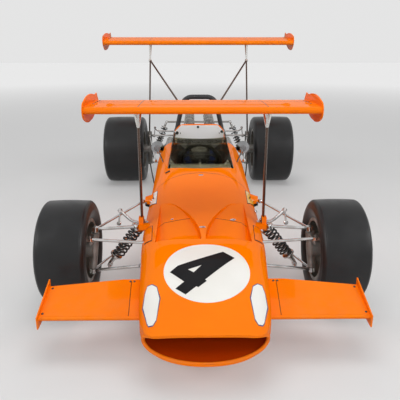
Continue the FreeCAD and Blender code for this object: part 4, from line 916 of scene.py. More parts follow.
# %% [markdown]
# Painted signs have no thickness of their own, but they follow the skin. Each one is drawn flat above the
# car, filled, divided into small faces, and pressed straight down on the solid by a shrinkwrap modifier
# that stops a hair above it. The roundel carries a plain block numeral and the other patches stay blank.


# %% A sign pressed on the skin
def filled(name, rings, divisions, height):
    """A flat piece with these closed outlines, the first one outside and the others holes, in small faces."""
    parts = []
    for index, ring in enumerate(rings):
        points = [Vector((x, y, height)) for x, y in ring]
        parts.append(drawn_line(name + "_ring" + str(index), points, closed=True))
        bpy.ops.mesh.remove_doubles(threshold=merge_distance)
        put_in_mesh()
        put_down()
    sign = joined(name, parts)
    take_up(sign)
    bpy.ops.object.mode_set(mode="EDIT")
    bpy.ops.mesh.select_all(action="SELECT")
    bpy.ops.mesh.fill(use_beauty=True)
    bpy.ops.mesh.select_all(action="SELECT")
    bpy.ops.mesh.subdivide(number_cuts=divisions)
    bpy.ops.mesh.normals_make_consistent(inside=False)
    bpy.ops.object.mode_set(mode="OBJECT")
    return sign


def pressed_down(sign, nodes, lift):
    """Presses a sign straight down on the first of these solids that lies under it."""
    for node in nodes:
        take_up(sign)
        press = sign.modifiers.new("press", "SHRINKWRAP")
        press.wrap_method = "PROJECT"
        press.use_project_z = True
        press.use_negative_direction = True
        press.use_positive_direction = False
        press.offset = lift
        press.target = frame["nodes"][node]
        apply_modifiers(sign)
    upward = sum(face.normal.z for face in sign.data.polygons)
    if upward < 0:
        sign.data.flip_normals()
    return sign


sign_height = 0.9
paint_lift = 0.0006
print("signs are drawn at height", sign_height, "and end", paint_lift, "above the skin")

# %% Roundel
roundel_middle = Vector((0.0105, -1.62))
roundel_half_width = 0.1985
roundel_half_length = 0.178
roundel_rings = 12
roundel_points = 72
bpy.ops.mesh.primitive_circle_add(
    vertices=roundel_points,
    radius=1.0,
    fill_type="NGON",
    location=(roundel_middle.x, roundel_middle.y, sign_height),
)
roundel = bpy.context.object
roundel.name = "nose_roundel"
roundel.scale = (roundel_half_width, roundel_half_length, 1.0)
bpy.ops.object.transform_apply(location=True, rotation=True, scale=True)
bpy.ops.object.mode_set(mode="EDIT")
for ring in range(roundel_rings):
    bpy.ops.mesh.inset(thickness=roundel_half_length / (roundel_rings + 1))
bpy.ops.object.mode_set(mode="OBJECT")
finished(pressed_down(roundel, ["nose_cowl"], paint_lift), "chassis", white)
print("roundel faces:", len(roundel.data.polygons))

# %% Numeral
numeral_outline = [
    (0.091, -1.503),
    (0.144, -1.546),
    (0.001, -1.680),
    (0.009, -1.687),
    (-0.030, -1.721),
    (-0.038, -1.715),
    (-0.085, -1.757),
    (-0.131, -1.725),
    (-0.093, -1.690),
    (-0.159, -1.633),
    (-0.124, -1.596),
]
numeral_eye = [(-0.076, -1.621), (-0.013, -1.594), (-0.050, -1.638)]
numeral_divisions = 9
numeral = filled("nose_numeral", [numeral_outline, numeral_eye], numeral_divisions, sign_height)
finished(pressed_down(numeral, ["nose_cowl"], 2 * paint_lift), "chassis", number_black)
print("numeral faces:", len(numeral.data.polygons))

# %% [markdown]
# Two long patches sit on the shoulders of the nose, white with a dark border. The border is the same
# outline made a little larger and laid underneath. The outline is drawn once, for the left of the car, and
# mirrored by changing the sign of its places across.

# %% Blank patches on the nose
patch_outline = [
    (0.237, -1.686),
    (0.258, -1.6855),
    (0.2665, -1.72),
    (0.2695, -1.783),
    (0.2455, -1.868),
    (0.2375, -1.882),
    (0.2195, -1.884),
    (0.2075, -1.863),
    (0.199, -1.767),
    (0.215, -1.706),
]
border_width = 0.005
patch_divisions = 7


def grown(outline, extra):
    """The outline with each point moved away from the middle."""
    middle = Vector((sum(x for x, y in outline), sum(y for x, y in outline))) / len(outline)
    spread = [Vector(point) + (Vector(point) - middle).normalized() * extra for point in outline]
    return [(point.x, point.y) for point in spread]


for side_name, side in side_names:
    for part_name, extra, lift, finish in (
        ("border", border_width, paint_lift, outline_blue),
        ("face", 0.0, 2 * paint_lift, white),
    ):
        ring = [(side * x, y) for x, y in grown(patch_outline, extra)]
        name = "nose_patch_" + part_name + "_" + side_name
        patch = filled(name, [ring], patch_divisions, sign_height)
        finished(pressed_down(patch, ["nose_cowl"], lift), "chassis", finish)
print("a nose patch spans", spans(patch))

# %% [markdown]
# The body panels are held by quarter-turn fasteners: an oval plate with a domed stud that has a slot across
# it. One is modelled upright at the origin. The dome is cut twice beside the slot, which leaves two half
# moons on a plate. The copies stand on the skin along its normal, which is found by looking straight down
# at the solid.


# %% Where the skin is
def skin_towards(start, direction, nodes):
    """The place and normal where a straight look from the start first meets one of these solids."""
    start = Vector(start)
    direction = Vector(direction).normalized()
    found = []
    for node in nodes:
        met, place, normal, face = frame["nodes"][node].ray_cast(start, direction)
        if met:
            found.append(((place - start).length, place, normal))
    return min(found, key=lambda row: row[0])[1:]


look_from = 3.0


def skin_under(x, y, nodes):
    """The place and normal of the highest skin of these solids, seen from straight above."""
    return skin_towards((x, y, look_from), -upwards, nodes)


def skin_beside(side, y, z, nodes):
    """The same, seen from one side of the car."""
    return skin_towards((side * look_from, y, z), -side * across, nodes)


def standing_on(place, normal):
    """The matrix that stands a piece modelled upright at the origin on the skin."""
    return Matrix.Translation(place) @ normal.to_track_quat("Z", "Y").to_matrix().to_4x4()


body_skins = ["cockpit_cowl", "nose_cowl", "monocoque_tub"]
place, normal = skin_under(0.0, -0.565, body_skins)
print("the skin behind the spine is at height", round(place.z, 3), "and looks along", normal[:])

# %% One fastener
stud_radius = 0.0085
stud_rise = 0.0028
slot_half = 0.0011
plate_radius = 0.0115
plate_rise = 0.0014
dome_profile = [
    (0.0, stud_radius),
    (stud_rise * 0.5, stud_radius),
    (stud_rise * 0.85, stud_radius * 0.75),
    (stud_rise, stud_radius * 0.35),
    (stud_rise, 0.0),
]
plate_profile = [
    (-plate_rise, plate_radius),
    (plate_rise * 0.6, plate_radius),
    (plate_rise, plate_radius * 0.9),
    (plate_rise, 0.0),
]
plate = turned("fastener_plate", plate_profile, origin, upwards, 20)
plate_stretch = 1.5
plate.data.transform(Matrix.Diagonal((plate_stretch, 1.0, 1.0, 1.0)))
halves = []
for side in (1, -1):
    half_moon = turned("fastener_half", dome_profile, origin, upwards, 20)
    bpy.ops.object.mode_set(mode="EDIT")
    bpy.ops.mesh.select_all(action="SELECT")
    slot_wall = (0, side * slot_half, 0)
    bpy.ops.mesh.bisect(plane_co=slot_wall, plane_no=(0, side, 0), clear_inner=True, use_fill=True)
    bpy.ops.object.mode_set(mode="OBJECT")
    half_moon.data.transform(Matrix.Translation((0, 0, plate_rise)))
    halves.append(half_moon)
fastener = joined("fastener", [plate] + halves)
print("faces in a fastener:", len(fastener.data.polygons))

# %% Fasteners on the body
fastener_places = [
    (-0.167, -1.114),
    (0.169, -1.114),
    (0.001, -1.241),
    (0.003, -0.556),
    (-0.304, -0.96),
    (0.304, -0.945),
]
stands = [standing_on(*skin_under(x, y, body_skins)) for x, y in fastener_places]
finished(set_out(fastener, "body_fasteners", stands), "chassis", bright_metal)
print("fasteners:", len(fastener_places))

# %% [markdown]
# A riveted tub shows its construction: rows of small domed rivets follow the floor and the seam under the
# cowl. A rivet here has only a dozen faces, because there are hundreds of them.

# %% Rivets along the tub
rivet_radius = 0.0032
rivet_rise = 0.0014
rivet_pitch = 0.045
rivet_profile = [(0.0, rivet_radius), (rivet_rise * 0.7, rivet_radius * 0.7), (rivet_rise, 0.0)]
rivet = turned("rivet", rivet_profile, origin, upwards, 6)
tub_low, tub_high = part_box("monocoque_tub")
rivet_above_floor = 0.045
rivet_below_top = 0.155
rivet_heights = (tub_low.z + rivet_above_floor, tub_high.z - rivet_below_top)
rivet_margin = 0.04
rivet_count = int((tub_high.y - tub_low.y - 2 * rivet_margin) / rivet_pitch)
stands = []
for side in (1, -1):
    for height in rivet_heights:
        for index in range(rivet_count + 1):
            along = tub_low.y + rivet_margin + index * rivet_pitch
            stands.append(standing_on(*skin_beside(side, along, height, ["monocoque_tub"])))
finished(set_out(rivet, "tub_rivets", stands), "chassis", orange)
print("rivets:", len(stands))

# %% [markdown]
# Each corner has a coil spring over its damper. A coil is a small circle swept along a helix, which the
# screw modifier does in one go: it turns the circle round an axis while it rises. The damper inside is
# turned like everything round, and the whole unit is modelled upright at the origin, then stood between its
# two eyes.

# %% One coil-over unit
unit_turns = 8
steps_per_turn = 18
wire_radius = 0.0052
coil_radius = 0.0305
eye_radius = 0.0145
eye_hole_radius = 0.0072
eye_half_width = 0.009


def coil(name, foot, rise):
    """A helical spring that starts at the foot and rises along the vertical."""
    upright = (math.radians(90), 0, 0)
    bpy.ops.mesh.primitive_circle_add(
        vertices=8, radius=wire_radius, location=(coil_radius, 0, 0), rotation=upright
    )
    wire = bpy.context.object
    bpy.ops.object.transform_apply(location=True, rotation=True, scale=True)
    wire.name = name
    helix = wire.modifiers.new("helix", "SCREW")
    helix.axis = "Z"
    helix.angle = unit_turns * 2 * math.pi
    helix.screw_offset = rise
    helix.steps = unit_turns * steps_per_turn
    helix.render_steps = unit_turns * steps_per_turn
    helix.use_smooth_shade = True
    apply_modifiers(wire)
    wire.data.transform(Matrix.Translation((0, 0, foot)))
    bpy.ops.object.mode_set(mode="EDIT")
    close_up()
    return wire


def coil_over(name, foot, top, body):
    """A spring and damper between two eyes."""
    span = (top - foot).length
    lean = standing_on(foot, top - foot)
    body_tube = [
        (eye_radius * 0.6, 0.0),
        (eye_radius * 0.6, 0.011),
        (span * 0.14, 0.0125),
        (span * 0.15, 0.019),
        (span * 0.2, 0.019),
        (span * 0.205, 0.036),
        (span * 0.235, 0.036),
        (span * 0.24, 0.0195),
        (span * 0.56, 0.0195),
        (span * 0.565, 0.007),
        (span * 0.78, 0.007),
        (span * 0.785, 0.014),
        (span * 0.83, 0.014),
        (span * 0.835, 0.035),
        (span * 0.86, 0.035),
        (span * 0.865, 0.013),
        (span - eye_radius * 0.6, 0.011),
        (span - eye_radius * 0.6, 0.0),
    ]
    tube = turned(name + "_tube", body_tube, origin, upwards, 28)
    bevelled(tube, 0.0008, 1)
    tube.data.transform(lean)
    spring = coil(name + "_spring", span * 0.245, span * 0.585)
    spring.data.transform(lean)
    finished(tube, body, turned_alloy)
    finished(spring, body, satin_black, smooth_angle)
    eye_profile = [
        (-eye_half_width, eye_hole_radius),
        (-eye_half_width, eye_radius),
        (eye_half_width, eye_radius),
        (eye_half_width, eye_hole_radius),
    ]
    eyes = []
    for end in (foot, top):
        ring = turned(name + "_eye", eye_profile, end, backwards, 24, closed=True)
        bevelled(ring, 0.0012, 2)
        eyes.append(ring)
    finished(joined(name + "_eyes", eyes), body, bright_metal)
    return tube


print("coil-over maker ready, turns:", unit_turns)

# %% Four coil-overs
front_low, front_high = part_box("front_dampers")
rear_low, rear_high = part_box("rear_dampers")
front_line = (front_low.y + front_high.y) / 2
rear_line = (rear_low.y + rear_high.y) / 2
front_foot = Vector((front_high.x - eye_radius, front_line, front_low.z + eye_radius))
front_top_across = 0.335
rear_top_across = 0.33
front_top = Vector((front_top_across, front_line, front_high.z - eye_radius))
rear_foot = Vector((rear_high.x - eye_radius, rear_line, rear_low.z + eye_radius))
rear_top = Vector((rear_top_across, rear_line, rear_high.z - eye_radius))
for side_name, side in side_names:
    flip = Vector((side, 1, 1))
    unit = coil_over("front_damper_" + side_name, front_foot * flip, front_top * flip, "chassis")
    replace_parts(unit, "front_dampers")
    unit = coil_over("rear_damper_" + side_name, rear_foot * flip, rear_top * flip, "chassis")
    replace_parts(unit, "rear_dampers")
print("a rear unit spans", spans(unit))

# %% [markdown]
# Signs on the flanks can't be pressed down from above, because the skin there is too steep. They are drawn
# on the left of the car and moved a little out and up. A shrinkwrap then pulls every point to the nearest
# place on the solid, which is its outer skin, or straight along its normal where the nearest place is on a
# bracket beside it. A mirrored copy serves the right. A seam between two panels is a line extruded sideways
# into a ribbon a few millimetres wide, which is pressed on the skin like a sign.


# %% Signs on a slanted skin and seams
slant_start = 0.012


def laid_on(name, places, node, lift, divisions=12, straight=False):
    """A sign on the left flank, pulled to the nearest skin of the solid or straight along its own normal."""
    sign = drawn_sheet(name, places, divisions)
    bpy.ops.transform.translate(value=(slant_start, 0, slant_start))
    put_in_mesh()
    outward = sum(face.normal.z + face.normal.x for face in sign.data.polygons)
    if outward < 0:
        sign.data.flip_normals()
    press = sign.modifiers.new("press", "SHRINKWRAP")
    press.wrap_method = "NEAREST_SURFACEPOINT"
    if straight:
        press.wrap_method = "PROJECT"
        press.use_positive_direction = False
        press.use_negative_direction = True
    press.wrap_mode = "ABOVE_SURFACE"
    press.offset = lift
    press.target = frame["nodes"][node]
    apply_modifiers(sign)
    return sign


def ribbon(name, points, sideways, divisions=2):
    """A line extruded once sideways into a strip."""
    strip = drawn_line(name, points)
    bpy.ops.mesh.extrude_edges_move(TRANSFORM_OT_translate={"value": sideways})
    bpy.ops.mesh.select_all(action="SELECT")
    bpy.ops.mesh.subdivide(number_cuts=divisions)
    put_in_mesh()
    return strip


def shrunk(places, share):
    """The corners drawn towards their middle."""
    middle = sum((Vector(place) for place in places), Vector()) / len(places)
    return [middle + (Vector(place) - middle) * share for place in places]


print("tools for flank signs and seams are ready")

# %% Blank panels on the flanks
side_panel = [
    (0.275, -0.712, 0.4905),
    (0.3065, -0.69, 0.464),
    (0.3194, -0.855, 0.4275),
    (0.27, -0.916, 0.4705),
]
low_panel = [
    (0.2665, -1.185, 0.442),
    (0.316, -1.175, 0.405),
    (0.3055, -1.345, 0.388),
    (0.254, -1.36, 0.422),
]
for label, places, left_finish, right_finish, face_share, straight in (
    ("side_panel", side_panel, yellow, white, 0.92, True),
    ("low_panel", low_panel, orange, orange, 0.91, False),
):
    border = laid_on(label + "_border_left", places, "cockpit_cowl", paint_lift, straight=straight)
    both_sides(border, "chassis", number_black, number_black)
    inner = shrunk(places, face_share)
    face = laid_on(label + "_left", inner, "cockpit_cowl", 3 * paint_lift, straight=straight)
    both_sides(face, "chassis", left_finish, right_finish)
print("a low panel spans", spans(face))

# %% Seams in the bodywork
seam_width = 0.0032
scuttle_seam = [
    (-0.3, -0.705),
    (-0.266, -0.652),
    (-0.21, -0.596),
    (-0.11, -0.54),
    (0.0, -0.512),
    (0.11, -0.54),
    (0.21, -0.596),
    (0.266, -0.652),
    (0.3, -0.705),
]
duct_seam = [(0.071, -1.112), (0.12, -1.122), (0.168, -1.133), (0.213, -1.14), (0.243, -1.17)]
other_duct_seam = [(-x, y) for x, y in duct_seam]
seam_lift = paint_lift * 0.6
seams = []
for line in (scuttle_seam, duct_seam, other_duct_seam):
    seam = ribbon("seam", [(x, y, sign_height) for x, y in line], (0, seam_width, 0), 5)
    seams.append(pressed_down(seam, ["cockpit_cowl"], seam_lift))
finished(joined("body_seams", seams), "chassis", number_black)
print("seams:", len(seams))

# %% [markdown]
# Much of a racing car is rod and pipe. A straight rod is a turned piece with a small chamfer at each end. A
# bent pipe starts as a chain of edges: subdivision rounds its corners, and as a curve it is given a round
# section and made a mesh again. A bolt is a six-sided turned nut with a rounded stud through it, made
# upright at the origin.


# %% Rods, pipes and bolts
def rod(name, start, end, radius, steps=20):
    """A straight round bar with chamfered ends."""
    span = (Vector(end) - Vector(start)).length
    edge = min(radius * 0.3, span * 0.2)
    profile = [
        (0, 0),
        (0, radius - edge),
        (edge, radius),
        (span - edge, radius),
        (span, radius - edge),
        (span, 0),
    ]
    return turned(name, profile, Vector(start), Vector(end) - Vector(start), steps)


def bent_pipe(name, points, radius, smoothing=2, closed=False):
    """A round pipe through these points, with its corners rounded."""
    drawn_line(name, points, closed)
    bpy.ops.mesh.remove_doubles(threshold=merge_distance)
    put_in_mesh()
    line = bpy.context.object
    rounded(line, smoothing)
    take_up(line)
    bpy.ops.object.convert(target="CURVE")
    pipe = bpy.context.object
    pipe.data.bevel_depth = radius
    pipe.data.bevel_resolution = 3
    pipe.data.use_fill_caps = True
    bpy.ops.object.convert(target="MESH")
    pipe = bpy.context.object
    pipe.name = name
    put_down()
    return pipe


def upright_bolt(name, nut_radius, nut_height):
    """A nut on its washer and stud, standing on the origin."""
    washer_rise = nut_height * 0.15
    washer_profile = [(0, 0), (0, nut_radius * 1.3), (washer_rise, nut_radius * 1.3), (washer_rise, 0)]
    nut_profile = [
        (washer_rise, 0),
        (washer_rise, nut_radius),
        (nut_height * 0.95, nut_radius),
        (nut_height, nut_radius * 0.85),
        (nut_height, 0),
    ]
    stud_profile = [
        (nut_height, nut_radius * 0.5),
        (nut_height * 1.4, nut_radius * 0.5),
        (nut_height * 1.5, 0),
    ]
    parts = []
    for profile, sides in ((washer_profile, 16), (nut_profile, 6), (stud_profile, 10)):
        parts.append(turned(name + "_part", profile, origin, upwards, sides))
    return joined(name, parts)


print("tools ready: rod, bent_pipe, upright_bolt")

# %% [markdown]
# Over each intake trumpet sits a dome of wire gauze that keeps stones out. A half sphere is made into a
# lattice by the wireframe modifier, with a darker skin just under the wires, and a clip band round its
# foot.

# %% Gauze over the trumpets
trumpet_low, trumpet_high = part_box("intake_trumpets")
dome_radius = 0.044
dome_foot = trumpet_high.z - dome_radius
dome_across = trumpet_high.x - dome_radius
trumpets_per_side = 4
trumpet_pitch = (trumpet_high.y - trumpet_low.y - 2 * dome_radius) / (trumpets_per_side - 1)
wire_lift = 0.0006
wire_thickness = 0.0013
skin_depth = 0.0003
bpy.ops.mesh.primitive_uv_sphere_add(segments=30, ring_count=20, radius=dome_radius + wire_lift)
gauze = bpy.context.object
gauze.name = "trumpet_gauze"
bpy.ops.object.mode_set(mode="EDIT")
bpy.ops.mesh.select_all(action="SELECT")
bpy.ops.mesh.bisect(plane_co=(0, 0, -0.002), plane_no=(0, 0, -1), clear_outer=True)
bpy.ops.object.mode_set(mode="OBJECT")
gauze_skin = copied(gauze, "trumpet_gauze_skin", Matrix.Scale(1 - skin_depth / dome_radius, 4))
lattice = gauze.modifiers.new("wires", "WIREFRAME")
lattice.thickness = wire_thickness
apply_modifiers(gauze)
band_profile = [(-0.006, 0.0452), (-0.006, 0.0462), (0.001, 0.0462), (0.001, 0.0452)]
band = turned("gauze_band", band_profile, origin, upwards, 36, closed=True)
dome_places = []
for side in (1, -1):
    for index in range(trumpets_per_side):
        along = trumpet_low.y + dome_radius + index * trumpet_pitch
        dome_places.append(Matrix.Translation((side * dome_across, along, dome_foot)))
finished(set_out(gauze, "trumpet_gauze", dome_places), "chassis", gauze_wire)
finished(set_out(gauze_skin, "trumpet_gauze_skin", dome_places), "chassis", gauze_shade, soft_angle)
finished(set_out(band, "trumpet_bands", dome_places), "chassis", bright_metal)
print("gauze domes:", len(dome_places), "pitch:", round(trumpet_pitch, 3))

# %% [markdown]
# The white panel behind the driver has black grommets where cables pass, small screws, and a rolled orange
# edge. The edge follows the panel's own outline, which is found by looking in at the solid from all round.

# %% Trim of the headrest panel
panel_low, panel_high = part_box("headrest_panel")
grommet_profile = [
    (0.0, 0.0),
    (0.0, 0.0135),
    (0.002, 0.0135),
    (0.0036, 0.0115),
    (0.0036, 0.009),
    (0.0006, 0.0085),
    (0.0006, 0.0),
]
grommet_places = [(-0.189, 0.652, 1.0), (0.189, 0.663, 0.9), (-0.012, 0.702, 0.75)]
grommets = []
for x, z, size in grommet_places:
    profile = [(place * size, radius * size) for place, radius in grommet_profile]
    grommets.append(turned("grommet", profile, (x, panel_low.y, z), forwards, 28))
finished(joined("headrest_grommets", grommets), "chassis", lead_rubber)
screw_profile = [(0, 0), (0, 0.0048), (0.001, 0.0048), (0.0022, 0.003), (0.0026, 0.0)]
screw_places = [
    (-0.1605, 0.65),
    (0.1675, 0.65),
    (-0.195, 0.59),
    (0.195, 0.59),
    (-0.1, 0.578),
    (0.1, 0.578),
]
screws = [turned("screw", screw_profile, (x, panel_low.y, z), forwards, 16) for x, z in screw_places]
finished(joined("headrest_screws", screws), "chassis", dark_steel)
edge_middle = Vector((0, (panel_low.y + panel_high.y) / 2, panel_low.z + 0.03))
edge_radius = 0.0055
edge_look_from = 0.6
edge_stops = 24
edge_line = []
for stop in range(edge_stops + 1):
    angle = math.pi * stop / edge_stops
    out = Vector((math.cos(angle), 0, math.sin(angle)))
    place, normal = skin_towards(edge_middle + out * edge_look_from, -out, ["headrest_panel"])
    edge_line.append(place + out * edge_radius * 0.7)
finished(bent_pipe("headrest_edge", edge_line, edge_radius, 1), "chassis", orange, soft_angle)
print("panel trim:", len(grommets), "grommets,", len(screws), "screws")

# %% [markdown]
# The steering wheel's rim is wound with leather. The winding is a ring just over the CAD rim, with a raised
# seam on its inner side, and it turns with the wheel. Its axis and middle come from the steering joint.

# %% Leather on the steering wheel
joints = frame["record"]["behaviour"]["joints"]
steering = next(joint for joint in joints if joint["name"] == "steering_turn")
wheel_middle = Vector(steering["pos_m"])
wheel_axis = Vector(steering["axis"]).normalized()
wheel_low, wheel_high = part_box("steering_wheel")
rim_tube = 0.013
rim_radius = (wheel_high.x - wheel_low.x) / 2 - rim_tube
winding = rim_tube + 0.0006
seam_rise = 0.0009
rim_stops = 16
rim_section = []
for stop in range(rim_stops):
    angle = 2 * math.pi * stop / rim_stops
    reach = winding + seam_rise if stop == rim_stops // 2 else winding
    rim_section.append((reach * math.sin(angle), rim_radius + reach * math.cos(angle)))
grip = turned("wheel_grip", rim_section, wheel_middle, wheel_axis, 72, closed=True)
grip_angle = 50.0
finished(grip, "steering_wheel_body", grip_leather, grip_angle)
boss_place, normal = skin_towards(wheel_middle + wheel_axis * 0.2, -wheel_axis, ["steering_wheel"])
cap_profile = [
    (0, 0),
    (0, 0.027),
    (0.003, 0.027),
    (0.0045, 0.0245),
    (0.0045, 0.012),
    (0.008, 0.0105),
    (0.008, 0),
]
boss_cap = turned("wheel_boss_cap", cap_profile, boss_place, wheel_axis, 32)
bevelled(boss_cap, 0.0006, 2)
finished(boss_cap, "steering_wheel_body", turned_alloy)
print("wheel rim radius:", round(rim_radius, 4))

# %% [markdown]
# Inside, the tub and the cowl aren't painted: the riveted walls have a dark lining. They are one solid with
# the outside, so the finish decides by the way a face looks. A wall whose face points to the middle of the
# car is inside, and so is the floor of the cockpit, and the underside of the cowl. The nose is orange
# inside too, painted deeper as shade, because little light reaches in.


# %% Paint outside, a lining inside, and painted shade inside the nose
inward_limit = -0.03
level_limit = 0.6
floor_limit = 0.2
under_limit = -0.15
lining_dullness = 0.6


def lined_effect():
    """Orange paint on outward faces; on inward faces a dark lining, and in the nose painted shade."""
    tree, start, end = new_effect(
        "lined_paint",
        [
            ("Paint", "NodeSocketColor", opaque(*orange_tone)),
            ("Deep", "NodeSocketColor", opaque(*deep_orange_tone)),
            ("Lining And Shade", "NodeSocketColor", (0.02, 0.02, 0.02, 1)),
            ("Walls", "NodeSocketFloat", 1.0),
            ("Under", "NodeSocketFloat", 1.0),
            ("Gloss", "NodeSocketFloat", 0.28),
            ("Dull", "NodeSocketFloat", 0.5),
        ],
    )
    coordinates = tree.nodes.new("ShaderNodeTexCoord")
    place = tree.nodes.new("ShaderNodeSeparateXYZ")
    facing = tree.nodes.new("ShaderNodeSeparateXYZ")
    tree.links.new(coordinates.outputs["Object"], place.inputs["Vector"])
    tree.links.new(coordinates.outputs["Normal"], facing.inputs["Vector"])
    outward = add_math(tree, "MULTIPLY", place.outputs["X"], facing.outputs["X"])
    walls = add_math(tree, "LESS_THAN", outward, inward_limit)
    level = add_math(tree, "GREATER_THAN", facing.outputs["Z"], level_limit)
    low = add_math(tree, "LESS_THAN", place.outputs["Z"], floor_limit)
    walls = add_math(tree, "MAXIMUM", walls, add_math(tree, "MULTIPLY", level, low))
    walls = add_math(tree, "MULTIPLY", walls, start.outputs["Walls"])
    under = add_math(tree, "LESS_THAN", facing.outputs["Z"], under_limit)
    under = add_math(tree, "MULTIPLY", under, start.outputs["Under"])
    inside = add_math(tree, "MAXIMUM", walls, under)
    cloud, smears = cloud_and_smears(tree, coordinates.outputs["Object"])
    shade = add_blend(tree, cloud, start.outputs["Paint"], start.outputs["Deep"])
    tree.links.new(add_blend(tree, inside, shade, start.outputs["Lining And Shade"]), end.inputs["Colour"])
    dull = add_range(tree, smears, 0.0, 1.0, start.outputs["Gloss"], start.outputs["Dull"])
    dull = add_math(tree, "MAXIMUM", dull, add_math(tree, "MULTIPLY", inside, lining_dullness))
    tree.links.new(dull, end.inputs["Roughness"])
    tree.links.new(add_noise(tree, coordinates.outputs["Object"], 140.0, 1.0), end.inputs["Height"])
    return tree


lined_paint = lined_effect()
dark_lining = opaque(0.018, 0.018, 0.017)
# A deeper orange for the inner faces of the nose: painted shade, where little light reaches in.
painted_shade_orange = opaque(0.5, 0.045, 0.0004)
for node, lining, walls, under in (
    ("monocoque_tub", dark_lining, 1.0, 0.0),
    ("cockpit_cowl", dark_lining, 0.0, 1.0),
    ("nose_cowl", painted_shade_orange, 1.0, 0.0),
):
    values = {"Lining And Shade": lining, "Walls": walls, "Under": under}
    name = "orange_outside_" + node
    wear(node, make_finish(name, lined_paint, values, coat=orange_coat, bump=0.05, specular=0.0))
print("lined finish:", lined_paint.name)

# %% [markdown]
# The seat is a thin vinyl pad. It starts as the plain CAD solid, a little shrunk and remeshed into small
# even faces, and cloth with some air pressure inside it rounds it out. How far a point may go is capped, so
# the pad stays in the space of the solid. Its sewn channels are pressed in afterwards, because a remesh
# would lose them.


# %% A pad puffed up as cloth
def puffed(piece, pressure, frames, most):
    """Cloth with pressure inside and no gravity, run for some frames. No point moves beyond the most."""
    before = [vertex.co.copy() for vertex in piece.data.vertices]
    take_up(piece)
    cloth = piece.modifiers.new("cloth", "CLOTH")
    cloth.settings.use_pressure = True
    cloth.settings.uniform_pressure_force = pressure
    cloth.settings.effector_weights.gravity = 0
    cloth.point_cache.frame_end = frames
    for number in range(1, frames + 1):
        bpy.context.scene.frame_set(number)
    bpy.ops.object.modifier_apply(modifier="cloth")
    bpy.context.scene.frame_set(1)
    for vertex, start in zip(piece.data.vertices, before):
        move = vertex.co - start
        if move.length > most:
            vertex.co = start + move.normalized() * most


seat_low, seat_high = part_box("seat")
seat_middle = (seat_low + seat_high) / 2
seat_pad = bpy.data.objects.new("seat_pad", frame["nodes"]["seat"].data.copy())
bpy.context.scene.collection.objects.link(seat_pad)
take_up(seat_pad)
bpy.ops.object.mode_set(mode="EDIT")
close_up()
pad_share = 0.95
pad_cell = 0.006
pad_pressure = 4.0
pad_frames = 20
pad_most = 0.008
shrink = Matrix.Translation(seat_middle) @ Matrix.Scale(pad_share, 4) @ Matrix.Translation(-seat_middle)
seat_pad.data.transform(shrink)
voxels = seat_pad.modifiers.new("voxels", "REMESH")
voxels.mode = "VOXEL"
voxels.voxel_size = pad_cell
apply_modifiers(seat_pad)
puffed(seat_pad, pad_pressure, pad_frames, pad_most)
print("the pad's own cells:", len(seat_pad.data.polygons))

# %% Sewn channels
channel_pitch = 0.042
channel_depth = 0.005
channel_width = 0.0065
channel_reach = 0.86
push = []
for vertex in seat_pad.data.vertices:
    off_line = (vertex.co.z - seat_low.z) % channel_pitch
    off_line = min(off_line, channel_pitch - off_line)
    inner = max(0.0, 1.0 - (abs(vertex.co.x) / (seat_high.x * channel_reach)) ** 8)
    push.append(vertex.normal * -channel_depth * math.exp(-((off_line / channel_width) ** 2)) * inner)
for vertex, step in zip(seat_pad.data.vertices, push):
    vertex.co = vertex.co + step
rounded(seat_pad)
finished(seat_pad, "chassis", black_vinyl, smooth_angle)
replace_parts(seat_pad, "seat")
print("seat pad faces:", len(seat_pad.data.polygons))

# %% [markdown]
# The driver's harness is blue webbing. A strap is a line along its path, extruded once across, rounded and
# given its thickness. It is laid a hair above the pad by looking at the pad from in front. The slides are
# flat frames, and the straps meet in a round buckle.


# %% Straps and slides
webbing_width = 0.05
webbing_thickness = 0.0022
webbing_lift = 0.0045
plate_depth = 0.003


def strap(name, points, sideways):
    """Webbing along these points, extruded sideways by its width."""
    belt = drawn_line(name, [Vector(point) - Vector(sideways) / 2 for point in points])
    bpy.ops.mesh.extrude_edges_move(TRANSFORM_OT_translate={"value": sideways})
    put_in_mesh()
    rounded(belt, 2)
    thickened(belt, webbing_thickness)
    bevelled(belt, 0.0006, 1, 60)
    return belt


def upright_plate(name, middle, width, height):
    """A plane that faces along the car, left in edit mode and selected all over."""
    bpy.ops.mesh.primitive_plane_add(size=1, location=middle, rotation=(math.radians(90), 0, 0))
    plate = bpy.context.object
    plate.name = name
    plate.scale = (width, height, 1)
    bpy.ops.object.transform_apply(location=False, rotation=True, scale=True)
    bpy.ops.object.mode_set(mode="EDIT")
    bpy.ops.mesh.select_all(action="SELECT")
    return plate


def slide(middle, width, height):
    """A flat frame that faces forwards: a plane inset, its middle taken out, and the rest drawn forwards."""
    plate = upright_plate("slide", middle, width, height)
    bpy.ops.mesh.inset(thickness=height * 0.22)
    bpy.ops.mesh.delete(type="FACE")
    bpy.ops.mesh.select_all(action="SELECT")
    bpy.ops.mesh.extrude_region_move(TRANSFORM_OT_translate={"value": forwards * plate_depth})
    close_up()
    bevelled(plate, 0.0008, 2)
    return plate


def pad_front(x, z):
    """How far forward the pad reaches at this place."""
    met, place, normal, face = seat_pad.ray_cast(Vector((x, seat_low.y - 0.3, z)), backwards)
    return place.y if met else seat_low.y


buckle_height = 0.25
print("the pad's front at the buckle:", round(pad_front(0, buckle_height), 3))

